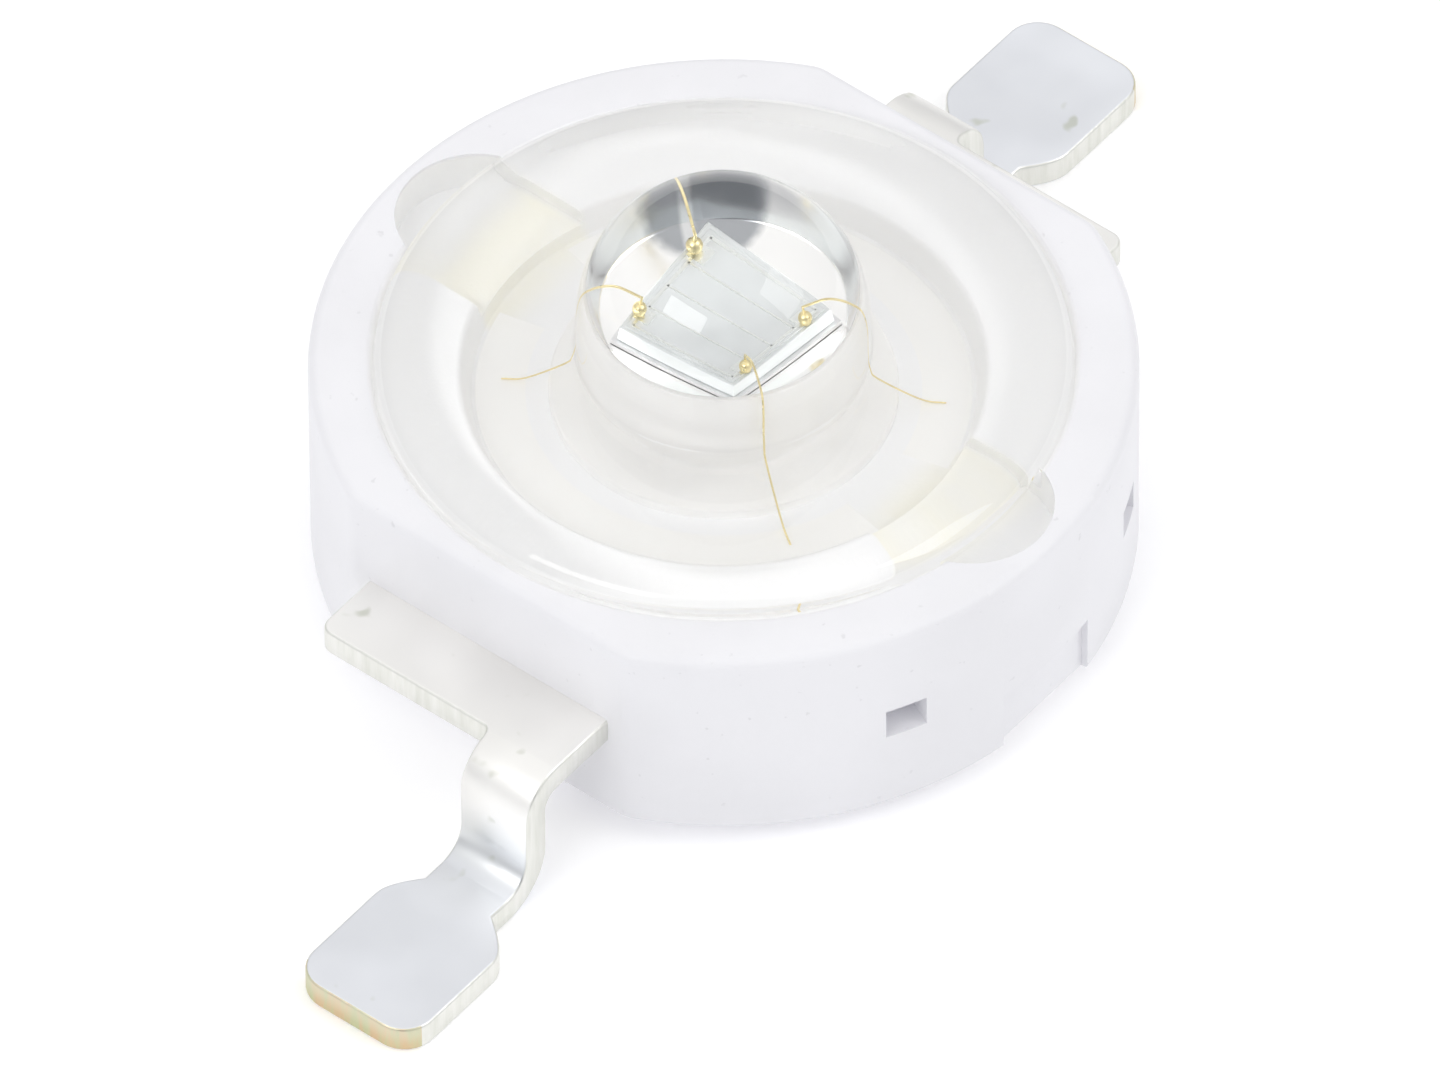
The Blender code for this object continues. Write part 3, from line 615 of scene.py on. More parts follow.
def slug_finish(slug):
    """Plated and turned copper with fine rings, bright in the cup and matt white round its post, with a painted
    shadow on the cup's floor beyond one corner of the chip.
    """
    made = Finish("turned slug", slug.plating)
    turning = {"Vector": made.place, "Scale": 4.0 / MM, "Distortion": 1.5, "Detail": 2.0}
    rings = made.node("ShaderNodeTexWave", turning, "Fac", wave_type="RINGS", rings_direction="Z")
    height = made.axis("Z")
    plating = made.cloudy(slug.plating, 0.8, 3.0, 1.03, 0.98)
    matt = made.times(
        made.over(height, slug.pedestal_top - 0.05 * MM, slug.pedestal_top - 0.02 * MM),
        made.over(made.out(), slug.cup_mouth - 0.01 * MM, slug.cup_mouth + 0.02 * MM),
    )
    made.set("Metallic", made.sum("SUBTRACT", 1.0, made.times(matt, 0.85)))
    cup = made.sum("SUBTRACT", made.over(height, slug.cup_level - 0.05 * MM, slug.cup_level), matt)
    # A ragged painted shadow beyond one corner of the chip, with a paler streak across it
    away = made.out(0.62 * MM, 0.62 * MM)
    ragged = made.sum("ADD", away, made.times(made.grain(5.0, 3.0), 0.16 * MM))
    slant = made.sum("SUBTRACT", made.axis("X"), made.axis("Y"))
    streak = made.sum("ABSOLUTE", made.sum("ADD", slant, 0.13 * MM))
    painted_shadow = made.times(
        made.under(ragged, slug.painted_shadow_reach, slug.painted_shadow_reach + 0.10 * MM),
        made.over(streak, 0.02 * MM, 0.07 * MM, 0.45, 1.0),
        cup,
    )
    satin = made.sum("ADD", made.rough(made.grain(3.0), 0.28, 0.40), made.times(matt, 0.15))
    return made.done(
        made.mix(painted_shadow, plating, slug.painted_shadow),
        made.sum("SUBTRACT", satin, made.times(cup, 0.18)),
        made.relief(rings, 0.0002 * MM),
    )


def crystal_finish(chip):
    """The chip's pale crystal, a little cloudy, and palest on its sides, where the lighter copy is painted light.
    """
    made = Finish("chip crystal", chip.crystal)
    made.set("IOR", 2.4)
    face = made.cloudy(chip.crystal, 1.6, 2.0, 1.04, 0.90)
    # The sides take a much lighter copy of the crystal: painted light
    sides = made.under(made.axis("Z"), chip.top - 0.022 * MM, chip.top - 0.012 * MM)
    return made.done(
        made.mix(sides, face, shaded(chip.crystal, 1.40)),
        made.rough(made.grain(6.0), 0.12, 0.24),
        made.relief(made.grain(8.0), 0.0006 * MM),
    )


def metal_finish(name, light, dark, grain, rough, depth):
    """A metal whose colour, roughness and relief all follow one grain."""
    made = Finish(name, light, 1.0)
    lumps = made.grain(*grain)
    return made.done(made.mix(lumps, light, dark), made.rough(lumps, *rough), made.relief(lumps, depth))


def silicone_finish(optic):
    """Clear silicone, with the faintest ripple in its skin."""
    made = Finish("clear silicone", optic.tint)
    made.set("Transmission Weight", 1.0)
    made.set("IOR", optic.index)
    return made.done(
        made.mix(made.grain(0.6), optic.tint, shaded(optic.tint, 0.99)),
        made.over(made.grain(1.5), 0.40, 0.70, 0.0, 0.03),
        made.relief(made.grain(1.6, 1.0), 0.0012 * MM),
    )


def floor_finish(stage):
    """A pale paper floor."""
    made = Finish("pale floor", stage.floor)
    made.set("Specular IOR Level", 0.2)
    made.set("Emission Color", (1.0, 1.0, 1.0))
    made.set("Emission Strength", stage.floor_glow)
    fibre = made.grain(0.4, 4.0)
    base = made.mix(fibre, stage.floor, shaded(stage.floor, 0.99))
    return made.done(base, made.rough(fibre, 0.65, 0.80), made.relief(fibre, 0.004 * MM))


# Pieces


def body_ring(body, inset, level):
    """The housing's outline at a level: a circle with a flat across each lead, drawn in by an inset."""
    centre_x = body.flat - body.corner_round
    centre_y = math.sqrt((body.radius - body.corner_round) ** 2 - centre_x**2)
    lean = math.degrees(math.atan2(centre_y, centre_x))
    quarter = arc((centre_x, centre_y), body.corner_round - inset, 0.0, lean, 8)
    half = quarter + arc((0.0, 0.0), body.radius - inset, lean, 180.0 - lean, 88)[1:-1]
    half += [Vector((-x, y)) for x, y in reversed(quarter)]
    return [(x, y, level) for x, y in half + [-point for point in half]]


def housing_shell(body):
    """The housing before anything is cut out of it."""
    rings = []
    for along, up in arc((0.0, 0.0), 1.0, 0.0, 90.0, 3):
        rings.append(body_ring(body, body.base_round * (1 - up), body.underside + body.base_round * (1 - along)))
    for along, up in arc((0.0, 0.0), 1.0, 0.0, 90.0, 6):
        rings.append(body_ring(body, body.rim_round * (1 - along), body.top - body.rim_round * (1 - up)))
    return stack(rings)


def bowl_cutter(body):
    """The room for the lens and the bowl under it, with its edges eased."""
    wall = body.radius - body.rim_width
    seat = body.top - body.seat_depth
    floor = seat - body.bowl_depth
    mouth = body.bowl_radius + body.bowl_draft
    rim = arc((wall + EASE, body.top - EASE), EASE, 98.0, 180.0, 6)
    profile = [(0.0, body.top + OVERCUT), (rim[0].x, body.top + OVERCUT)] + rim
    profile += [(wall, seat + 0.04 * MM), (wall - 0.04 * MM, seat)]
    profile += arc((mouth + EASE, seat - EASE), EASE, 90.0, 175.0, 5)
    profile += [(body.bowl_radius + 0.02 * MM, floor + 0.03 * MM), (body.bowl_radius - 0.02 * MM, floor)]
    return lathe(profile + [(0.0, floor)])


def channel_slab(body, side, grow, low, high):
    """A fill channel: round in the rim, and open to the bowl."""
    radius = body.notch_radius + grow
    outline = arc((0.0, body.radius - body.notch_wall - body.notch_radius), radius, 0.0, 180.0, 32)
    outline += [Vector((-radius, LAND_INNER)), Vector((radius, LAND_INNER))]
    return turned_about(slab(outline, low, high), 90.0 - side * 90.0)


def land_outline(lead, body, grow=0.0):
    """The part of a lead inside the housing, pointing along +X, from its root to its root."""
    inner = lead.land_inner - grow
    outer = lead.land_inner + lead.land_width + grow
    root = math.degrees(math.asin((lead.tab_width / 2 + grow) / outer))
    tip = math.degrees(lead.land_angle + grow / outer)
    bar_angle = 90.0 - math.degrees(body.pocket_angle)
    half_bar = lead.tie_bar_width / 2 + grow
    half_spread = math.degrees(math.asin(half_bar / outer))
    bar_end = polar(body.radius - POCKET_DEPTH + grow, bar_angle)
    sideways = polar(half_bar, bar_angle + 90.0)
    upper = arc((0.0, 0.0), outer, root, bar_angle - half_spread, 12)
    upper += [bar_end - sideways, bar_end + sideways]
    upper += arc((0.0, 0.0), outer, bar_angle + half_spread, tip, 4)
    upper += arc((0.0, 0.0), inner, tip, 0.0, 32)
    return upper + [Vector((x, -y)) for x, y in reversed(upper[:-1])]


def bowl_floor(body):
    """The level of the bowl's floor, flush with the tops of the leads."""
    return body.top - body.seat_depth - body.bowl_depth


def make_housing(body, lead, slug):
    """The moulded housing."""
    made = piece_of("moulded_housing", housing_shell(body), [moulding_finish(body)])
    tab_top = bowl_floor(body)
    tab_low = tab_top - lead.thickness
    hole = [(0.0, slug.pedestal_top + SEAM), (slug.pedestal_radius + SEAM, slug.pedestal_top + SEAM)]
    hole += [(slug.pedestal_radius + SEAM, slug.shoulder + SEAM), (slug.base_radius + FIT, slug.shoulder + SEAM)]
    hole += [(slug.base_radius + FIT, -OVERCUT), (0.0, -OVERCUT)]
    cuts = [bowl_cutter(body), lathe(hole)]
    lap = LAP * lead.edge_round
    half_tab = lead.tab_width / 2 - lap
    for turn in (0.0, 180.0):
        outline = land_outline(lead, body, -lap)
        outline += [Vector((body.flat + OVERCUT, side * half_tab)) for side in (-1, 1)]
        cuts.append(turned_about(slab(outline, tab_low - SEAM, tab_top + SEAM), turn))
    for side in (-1, 1):
        cuts.append(channel_slab(body, side, 0.0, body.top - body.notch_depth, body.top + OVERCUT))
    half_width = lead.tie_bar_width / 2 + 0.04 * MM
    inside, mouth = body.radius - POCKET_DEPTH, body.radius + OVERCUT
    outline = [(inside, -half_width), (mouth, -half_width * 1.1), (mouth, half_width * 1.1), (inside, half_width)]
    for side in (-90.0, 90.0):
        for hand in (-1, 1):
            pocket = slab(outline, tab_low - 0.03 * MM, tab_top + 0.03 * MM)
            cuts.append(turned_about(pocket, side + hand * math.degrees(body.pocket_angle)))
    half_gate = body.gate_width / 2
    front, back = -body.radius - OVERCUT, body.gate_depth - body.radius
    gate = [(-half_gate, front), (half_gate, front), (half_gate, back), (-half_gate, back)]
    cuts.append(slab(gate, body.underside - OVERCUT, body.underside + body.gate_height))
    return placed(faired(carved(made, cuts)), "white_moulding", "housing")


def lead_fold(lead, flat, tab_middle):
    """The function that bends a point of the flat blank, and the stations between which it bends."""
    tab_end = flat + lead.tab_reach
    neck_turn = lead.neck_bend + lead.thickness / 2
    foot_turn = lead.foot_bend + lead.thickness / 2
    neck_start = tab_end + neck_turn * math.pi / 2
    neck_end = neck_start + tab_middle - neck_turn - foot_turn - lead.thickness / 2
    foot_start = neck_end + foot_turn * math.pi / 2

    def fold(point):
        station, side, height = point
        off = height - tab_middle
        if station <= tab_end:
            return Vector((station, side, height))
        if station <= neck_start:
            turn = (station - tab_end) / neck_turn
            reach = neck_turn + off
            level = tab_middle - neck_turn + reach * math.cos(turn)
            return Vector((tab_end + reach * math.sin(turn), side, level))
        if station <= neck_end:
            return Vector((tab_end + neck_turn + off, side, tab_middle - neck_turn - (station - neck_start)))
        centre = Vector((tab_end + neck_turn + foot_turn, side, lead.thickness / 2 + foot_turn))
        if station <= foot_start:
            turn = (station - neck_end) / foot_turn
            reach = foot_turn - off
            return centre - Vector((reach * math.cos(turn), 0.0, reach * math.sin(turn)))
        return centre + Vector((station - foot_start, 0.0, off - foot_turn))

    return fold, (tab_end, neck_start, neck_end, foot_start)


def blank_outline(lead, flat, foot_start):
    """The part of a lead outside the housing, as cut from flat sheet, from the tab's -Y corner to +Y."""
    tab_end = flat + lead.tab_reach
    low = lead.foot_offset - lead.foot_width / 2
    high = lead.foot_offset + lead.foot_width / 2
    half_tab = lead.tab_width / 2
    neck_inner = half_tab - lead.neck_width
    foot_end = foot_start + lead.foot_length
    free, corner, small = lead.tab_corner, lead.foot_corner, lead.neck_fillet
    steps = 8

    def shoulder(neck_edge, foot_edge):
        for i in range(steps + 1):
            station = foot_start + lead.shoulder_start + lead.shoulder_length * (i / steps)
            yield Vector((station, neck_edge + (foot_edge - neck_edge) * math.sin(i / steps * math.pi / 2)))

    outline = arc((tab_end - free, free - half_tab), free, -90.0, 0.0, 6)
    outline += arc((tab_end + small, neck_inner - small), small, 180.0, 90.0, 5)
    outline += shoulder(neck_inner, low)
    outline += arc((foot_end - corner, low + corner), corner, -90.0, 0.0, steps)
    outline += arc((foot_end - corner, high - corner), corner, 0.0, 90.0, steps)
    return outline + list(shoulder(half_tab, high))[::-1]


def make_lead(name, node, lead, body, turn):
    """A lead stamped flat and folded twice, then turned about Z to its own side of the housing."""
    tab_top = bowl_floor(body)
    fold, bends = lead_fold(lead, body.flat, tab_top - lead.thickness / 2)
    outline = land_outline(lead, body) + blank_outline(lead, body.flat, bends[3])
    made = rounded(piece_of(name, slab(outline, tab_top - lead.thickness, tab_top)), lead.edge_round, 3, 60.0)
    work = bmesh.new()
    work.from_mesh(made.data)
    steps = 14
    for start, end in (bends[:2], bends[2:]):
        for i in range(steps + 1):
            whole = list(work.verts) + list(work.edges) + list(work.faces)
            plane = {"plane_co": (start + (end - start) * i / steps, 0.0, 0.0), "plane_no": (1.0, 0.0, 0.0)}
            bmesh.ops.bisect_plane(work, geom=whole, dist=MERGE_DISTANCE, **plane)
    cut_end = bends[3] + lead.foot_length - 0.6 * lead.foot_corner
    for face in work.faces:
        if abs(face.normal.z) < 0.9:
            face.material_index = 2 if face.calc_center_median().x > cut_end else 1
    for vertex in work.verts:
        vertex.co = fold(vertex.co)
    cleaned(turned_about(work, turn))
    work.to_mesh(made.data)
    work.free()
    for finish in (plating_finish(lead), sheared_finish(lead), copper_finish(lead)):
        made.data.materials.append(finish)
    return placed(faired(made, 50.0), "silver_plate", node)


def slug_line(slug):
    """The slug from the middle of its cup, down the post and the pedestal to its underside."""
    groove = (HOUSING_LOW.z + slug.shoulder) / 2
    base = slug.base_radius
    return eased(
        [
            (0.0, slug.cup_level),
            (slug.cup_floor, slug.cup_level, 0.03 * MM),
            (slug.cup_mouth, slug.post_top, 0.015 * MM),
            (slug.post_radius, slug.post_top, 0.015 * MM),
            (slug.post_radius, slug.pedestal_top, 0.06 * MM),
            (slug.pedestal_radius, slug.pedestal_top, 0.03 * MM),
            (slug.pedestal_radius, slug.shoulder),
            (base, slug.shoulder),
            (base, groove + slug.groove_half),
            (base - slug.groove_depth, groove),
            (base, groove - slug.groove_half),
            (base, slug.base_chamfer, 0.03 * MM),
            (base - slug.base_chamfer, 0.0, 0.03 * MM),
            (0.0, 0.0),
        ]
    )


def make_slug(slug):
    """The turned heat slug."""
    made = piece_of("turned_slug", lathe(slug_line(slug)), [slug_finish(slug)], 30.0)
    return placed(made, "silver_plate", "heat_slug")


def block(work, middle, half, low, high, finish, draw_in=0.0):
    """Adds a block to a bmesh, with its top drawn in a little all round."""
    rings = []
    for level, inset in ((low, 0.0), (high - draw_in, 0.0), (high, draw_in)):
        x, y = half[0] - inset, half[1] - inset
        corners = ((-x, -y), (x, -y), (x, y), (-x, y))
        rings.append([work.verts.new((middle[0] + a, middle[1] + b, level)) for a, b in corners])
    faces = [work.faces.new(rings[0][::-1]), work.faces.new(rings[-1])]
    for under, over in zip(rings, rings[1:]):
        for i in range(4):
            faces.append(work.faces.new((under[i], under[(i + 1) % 4], over[(i + 1) % 4], over[i])))
    for face in faces:
        face.material_index = finish


def make_chip(chip):
    """The chip: a block of crystal with a raised mesa, contact tracks and bond pads."""
    half, width = chip.side / 2, chip.track / 2
    mesa, edge, pad = half - 0.03 * MM, half - 0.07 * MM, chip.pad / 2
    top = chip.top - chip.skin
    buried = top - chip.skin
    work = bmesh.new()
    block(work, (0.0, 0.0), (half, half), chip.underside, top - 0.008 * MM, 0, 0.006 * MM)
    block(work, (0.0, 0.0), (mesa, mesa), top - 0.010 * MM, top, 0, 0.004 * MM)
    for offset in (-edge, edge):
        block(work, (0.0, offset), (edge, width), buried, chip.top, 1)
        block(work, (offset, 0.0), (width, edge), buried, chip.top, 1)
    for share in (-0.5, 0.0, 0.5):
        block(work, (share * edge, 0.0), (width * 0.6, edge), buried, chip.top, 1)
    x = chip.ball_reach * math.cos(chip.wire_angle)
    y = min(chip.ball_reach * math.sin(chip.wire_angle), mesa - pad)
    for side in (-1, 1):
        for hand in (-1, 1):
            block(work, (side * x, hand * y), (pad, pad), buried, chip.top + 0.001 * MM, 1)
    contact, darker = shaded(chip.contact, 1.05), shaded(chip.contact, 0.90)
    metal = metal_finish("contact metal", contact, darker, (30.0, 2.0), (0.25, 0.40), 0.0005 * MM)
    made = piece_of("led_chip", cleaned(work), [crystal_finish(chip), metal], 30.0)
    return placed(made, "chip", "led_die")


def finish_solder():
    """Gives the solder under the chip its material."""
    light, dark = (0.84, 0.84, 0.84), (0.70, 0.70, 0.71)
    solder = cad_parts["die_solder"]
    solder.data.materials.clear()
    solder.data.materials.append(metal_finish("solder", light, dark, (10.0, 3.0), (0.30, 0.50), 0.003 * MM))


def wire_line(chip, slug, optic, land_top):
    """The line of a wire in its upright plane, as (radius, height) points from its ball to its stitch."""
    throat = (slug.post_radius + optic.dome_radius - 0.12 * MM) / 2
    dish = optic.top - optic.dome_radius - optic.collar
    line = [
        (chip.ball_reach, chip.top + 3 * chip.ball_radius),
        ((chip.ball_reach + slug.cup_mouth) / 2, slug.post_top + chip.wire_loop),
        (slug.cup_mouth, slug.post_top + 0.8 * chip.wire_loop),
        (throat - chip.wire_radius, slug.post_top),
        (throat, dish),
        (slug.pedestal_radius - 0.31 * MM, (dish + slug.pedestal_top) / 2),
        (LAND_INNER, land_top + 0.10 * MM),
        (chip.stitch_radius, land_top + 0.7 * chip.wire_radius),
    ]
    return [Vector((chip.ball_reach, chip.top + chip.ball_radius))] + smooth_line(line)


def ball_line(chip):
    """The squashed ball at the foot of a wire, from its top down to the pad."""
    big = chip.ball_radius
    line = [(0.0, 2.1 * big), (chip.wire_radius * 1.15, 2.05 * big), (chip.wire_radius * 1.3, 1.75 * big)]
    line += [(0.62 * big, 1.60 * big), (0.88 * big, 1.30 * big), (big, 0.90 * big), (0.95 * big, 0.45 * big)]
    return line + [(0.80 * big, 0.12 * big), (0.78 * big, 0.0), (0.0, 0.0)]


def drawn_wire(points, radius):
    """The mesh of a wire along a line of points."""
    curve = bpy.data.curves.new("wire", "CURVE")
    curve.dimensions = "3D"
    spline = curve.splines.new("POLY")
    spline.points.add(len(points) - 1)
    for target, point in zip(spline.points, points):
        target.co = (*point, 1.0)
    curve.bevel_depth = radius
    curve.bevel_resolution = 4
    curve.use_fill_caps = True
    guide = in_scene("guide", curve)
    mesh = bpy.data.meshes.new_from_object(guide.evaluated_get(bpy.context.evaluated_depsgraph_get()))
    bpy.data.objects.remove(guide)
    return mesh


def make_wires(chip, slug, optic, body):
    """The four gold wires, each with its ball on the chip and its stitch on the land."""
    light, dark = shaded(chip.gold, 1.05), shaded(chip.gold, 0.85)
    gold = metal_finish("gold wire", light, dark, (18.0, 2.0), (0.26, 0.40), 0.0008 * MM)
    line = wire_line(chip, slug, optic, bowl_floor(body))
    sides = ((-1, -1), (-1, 1), (1, -1), (1, 1))
    for number, (side, hand) in enumerate(sides, 1):
        towards = Vector((side * math.cos(chip.wire_angle), hand * math.sin(chip.wire_angle), 0.0))
        points = [towards * radius + Vector((0.0, 0.0, height)) for radius, height in line]
        mesh = drawn_wire(points, chip.wire_radius)
        work = lathe(ball_line(chip), 24)
        foot = towards * chip.ball_reach + Vector((0.0, 0.0, chip.top))
        bmesh.ops.translate(work, verts=work.verts, vec=foot)
        work.from_mesh(mesh)
        bpy.data.meshes.remove(mesh)
        made = piece_of(f"gold_wire_{number}", cleaned(work), [gold], 60.0)
        placed(made, "gold_wire", f"bond_wire_{number}")


def optic_line(optic, body, slug):
    """The lens with its gel, from the top of the dome, over the flange and back under to the cup's floor."""
    seat = body.top - body.seat_depth
    sunk = bowl_floor(body) - WETTING
    wall = body.radius - body.rim_width + 2 * BOND
    mouth = body.bowl_radius + body.bowl_draft + 2 * BOND
    edge = seat + FIT + optic.edge_height
    dish_level = edge + optic.crest - optic.dish
    centre = dish_level + optic.collar
    foot = optic.dome_radius + optic.foot_fillet
    crest_radius = optic.radius - optic.shoulder
    line = [(0.0, centre + optic.dome_radius)] + arc((0.0, centre), optic.dome_radius, 90.0, 0.0, 48)[1:]
    line += arc((foot, dish_level + optic.foot_fillet), optic.foot_fillet, 180.0, 270.0, 8)
    for share in (i / 24 for i in range(1, 25)):
        line.append((foot + (crest_radius - foot) * share, dish_level + optic.dish * share**2))
    for along, up in arc((0.0, 0.0), 1.0, 90.0, 0.0, 16)[1:]:
        line.append((crest_radius + optic.shoulder * along, edge + optic.crest * up))
    return line + [
        (optic.radius, edge - 0.09 * MM),
        (wall, edge - 0.15 * MM),
        (wall, seat - BOND),
        (mouth + EASE, seat - BOND),
        (mouth, seat - EASE - BOND),
        (body.bowl_radius + 2 * BOND, sunk),
        (slug.pedestal_radius - BOND, sunk),
        (slug.pedestal_radius - 6 * BOND, slug.pedestal_top - BOND),
        (slug.post_radius, slug.pedestal_top - BOND),
        (slug.post_radius - BOND, slug.pedestal_top + 0.06 * MM),
        (slug.post_radius - 3 * BOND, slug.post_top - BOND),
        (slug.cup_mouth + 3 * BOND, slug.post_top - BOND),
        (slug.cup_floor + 2 * BOND, slug.cup_level - BOND),
        (0.0, slug.cup_level - BOND),
    ]


def make_optic(optic, body, slug):
    """The lens and the gel, as the one clear body that they are to the light."""
    clear = lathe(optic_line(optic, body, slug), GLASSY_STEPS)
    made = piece_of("clear_optic", clear, [silicone_finish(optic)], 30.0)
    low, high = body.top - body.notch_depth - BOND, body.top - 0.03 * MM
    carved(made, [channel_slab(body, side, BOND, low, high) for side in (-1, 1)], "UNION")
    return placed(faired(made, 30.0), "clear_lens", "lens", "encapsulant")


# Stage


def make_floor(stage):
    """The floor under the feet."""
    work = bmesh.new()
    bmesh.ops.create_grid(work, x_segments=8, y_segments=8, size=stage.floor_size / 2)
    bmesh.ops.translate(work, verts=work.verts, vec=(0.0, 0.0, -0.002 * MM))
    piece_of("floor", work, [floor_finish(stage)])


def make_sky(stage):
    """Soft light from all round: bright overhead, greyer towards the horizon, and dark behind the camera."""
    world = bpy.data.worlds.new("soft light")
    bpy.context.scene.world = world
    world.use_nodes = True
    sky = Nodes(world.node_tree, "Generated")
    ramp = sky.tree.nodes.new("ShaderNodeValToRGB")
    ramp.color_ramp.interpolation = "EASE"
    horizon, overhead = ramp.color_ramp.elements
    horizon.position, horizon.color = 0.0, (*stage.horizon, 1.0)
    overhead.position, overhead.color = 0.75, (1.0, 1.0, 1.0, 1.0)
    sky.feed(ramp, "Fac", sky.axis("Z"))
    level = Vector((CAMERA_BACK.x, CAMERA_BACK.y, 0.0)).normalized()
    gap = level * math.cos(stage.dark_height) + Vector((0, 0, math.sin(stage.dark_height)))
    facing = sky.node("ShaderNodeVectorMath", {0: sky.place, 1: gap}, "Value", operation="DOT_PRODUCT")
    dark = sky.over(facing, math.cos(stage.dark_spread), math.cos(0.6 * stage.dark_spread))
    background = sky.tree.nodes["Background"]
    sky.feed(background, "Color", sky.mix(dark, ramp.outputs["Color"], stage.dark))
    background.inputs["Strength"].default_value = stage.light


def make_camera(stage):
    """The camera, at the photograph's viewing angle."""
    data = bpy.data.cameras.new("camera")
    data.sensor_fit = "HORIZONTAL"
    data.sensor_width = 36.0
    data.lens = stage.focal
    data.clip_start = 0.01
    data.clip_end = 10.0
    camera = in_scene("camera", data)
    axes = Matrix((CAMERA_RIGHT, CAMERA_UP, CAMERA_BACK)).transposed().to_4x4()
    camera.matrix_world = Matrix.Translation(CAMERA_AIM + stage.distance * CAMERA_BACK) @ axes
    bpy.context.scene.camera = camera


def make_softbox(name, turn, height, width, tall, brightness):
    """A softbox: its place by angles from the camera and the floor, its size by the angles that it fills."""
    level = math.atan2(CAMERA_BACK.y, CAMERA_BACK.x) + turn
    away = Vector((math.cos(level) * math.cos(height), math.sin(level) * math.cos(height), math.sin(height)))
    data = bpy.data.lights.new(name, "AREA")
    data.shape = "RECTANGLE"
    data.size = 2 * SOFTBOX_DISTANCE * math.tan(width / 2)
    data.size_y = 2 * SOFTBOX_DISTANCE * math.tan(tall / 2)
    data.energy = brightness * math.pi * data.size * data.size_y
    lamp = in_scene(name, data)
    lamp.location = away * SOFTBOX_DISTANCE
    lamp.rotation_mode = "QUATERNION"
    lamp.rotation_quaternion = (-away).to_track_quat("-Z", "Y")
    lamp.visible_camera = False


class StageOperator(bpy.types.Operator):
    """Lays the floor, lights the object and sets up the camera"""

    bl_idname = "power_led.stage"
    bl_label = "Stage"

    def execute(self, context):
        stage, cycles = context.scene.power_led_stage, context.scene.cycles
        make_floor(stage)
        make_sky(stage)
        make_camera(stage)
        for name, (turn, width, tall, share) in SOFTBOXES.items():
            turn, width, tall = (math.radians(degrees) for degrees in (turn, width, tall))
            make_softbox(name, turn, stage.box_height, width, tall, share * stage.box_light)
        context.scene.view_settings.view_transform = "Standard"
        context.scene.view_settings.look = "None"
        cycles.max_bounces = 24
        cycles.diffuse_bounces = 16
        cycles.transmission_bounces = 16
        cycles.glossy_bounces = 12
        cycles.sample_clamp_indirect = 8.0
        cycles.blur_glossy = 0.0  # else what lies under the clear body loses much of its light
        return {"FINISHED"}


class HousingOperator(bpy.types.Operator):
    """Moulds the housing"""

    bl_idname = "power_led.housing"
    bl_label = "Housing"

    def execute(self, context):
        scene = context.scene
        make_housing(scene.power_led_housing, scene.power_led_leads, scene.power_led_slug)
        return {"FINISHED"}


class SlugOperator(bpy.types.Operator):
    """Turns the heat slug"""

    bl_idname = "power_led.slug"
    bl_label = "Heat slug"

    def execute(self, context):
        make_slug(context.scene.power_led_slug)
        return {"FINISHED"}


class LeadsOperator(bpy.types.Operator):
    """Stamps and folds the two leads"""

    bl_idname = "power_led.leads"
    bl_label = "Leads"

    def execute(self, context):
        lead, body = context.scene.power_led_leads, context.scene.power_led_housing
        make_lead("folded_cathode", "cathode_lead", lead, body, 0.0)
        make_lead("folded_anode", "anode_lead", lead, body, 180.0)
        return {"FINISHED"}


class ChipOperator(bpy.types.Operator):
    """Makes the chip, and finishes the solder under it"""

    bl_idname = "power_led.chip"
    bl_label = "Chip"

    def execute(self, context):
        make_chip(context.scene.power_led_chip)
        finish_solder()
        return {"FINISHED"}


class WiresOperator(bpy.types.Operator):
    """Bonds the four gold wires"""

    bl_idname = "power_led.wires"
    bl_label = "Bond wires"

    def execute(self, context):
        scene = context.scene
        chip, slug = scene.power_led_chip, scene.power_led_slug
        make_wires(chip, slug, scene.power_led_optic, scene.power_led_housing)
        return {"FINISHED"}


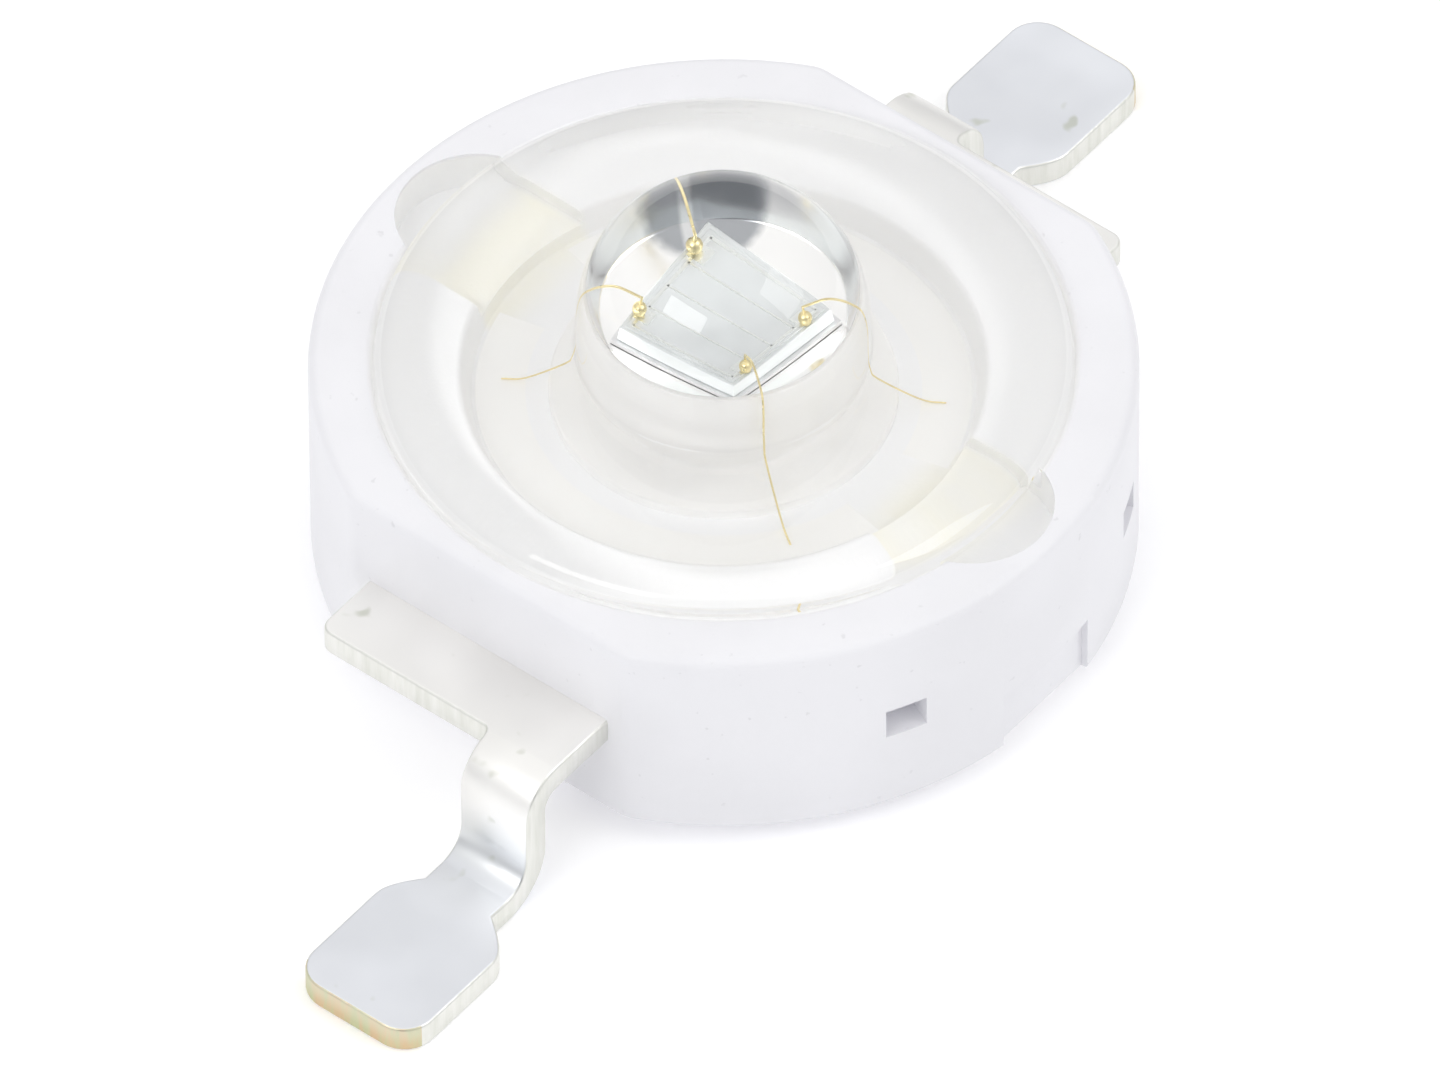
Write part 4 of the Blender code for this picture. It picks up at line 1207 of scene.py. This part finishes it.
class OpticOperator(bpy.types.Operator):
    """Casts the lens with the gel under it"""

    bl_idname = "power_led.optic"
    bl_label = "Lens and gel"

    def execute(self, context):
        scene = context.scene
        make_optic(scene.power_led_optic, scene.power_led_housing, scene.power_led_slug)
        return {"FINISHED"}


GROUPS = {
    "power_led_stage": StageSettings,
    "power_led_housing": HousingSettings,
    "power_led_slug": SlugSettings,
    "power_led_leads": LeadSettings,
    "power_led_chip": ChipSettings,
    "power_led_optic": OpticSettings,
}
OPERATORS = (
    StageOperator,
    HousingOperator,
    SlugOperator,
    LeadsOperator,
    ChipOperator,
    WiresOperator,
    OpticOperator,
)


class PowerLedPanel(bpy.types.Panel):
    """Lists the pieces, with their sizes and colours"""

    bl_idname = "VIEW3D_PT_power_led"
    bl_label = "Power LED emitter"
    bl_space_type = "VIEW_3D"
    bl_region_type = "UI"
    bl_category = "Power LED"

    def draw(self, context):
        for operator in OPERATORS:
            self.layout.operator(operator.bl_idname)
        for name, group in GROUPS.items():
            box = self.layout.box()
            box.label(text=group.__doc__)
            for field in group.__annotations__:
                box.prop(getattr(context.scene, name), field)


def register():
    """Registers the classes and hangs their settings on the scene."""
    for name, group in GROUPS.items():
        bpy.utils.register_class(group)
        setattr(bpy.types.Scene, name, PointerProperty(type=group))
    for operator in OPERATORS:
        bpy.utils.register_class(operator)
    bpy.utils.register_class(PowerLedPanel)


def unregister():
    """Takes everything that register adds away again."""
    bpy.utils.unregister_class(PowerLedPanel)
    for operator in reversed(OPERATORS):
        bpy.utils.unregister_class(operator)
    for name, group in reversed(GROUPS.items()):
        delattr(bpy.types.Scene, name)
        bpy.utils.unregister_class(group)


def main():
    """Makes every piece in turn."""
    register()
    bpy.ops.power_led.stage()
    bpy.ops.power_led.housing()
    bpy.ops.power_led.slug()
    bpy.ops.power_led.leads()
    bpy.ops.power_led.chip()
    bpy.ops.power_led.wires()
    bpy.ops.power_led.optic()


if __name__ == "__main__":
    main()
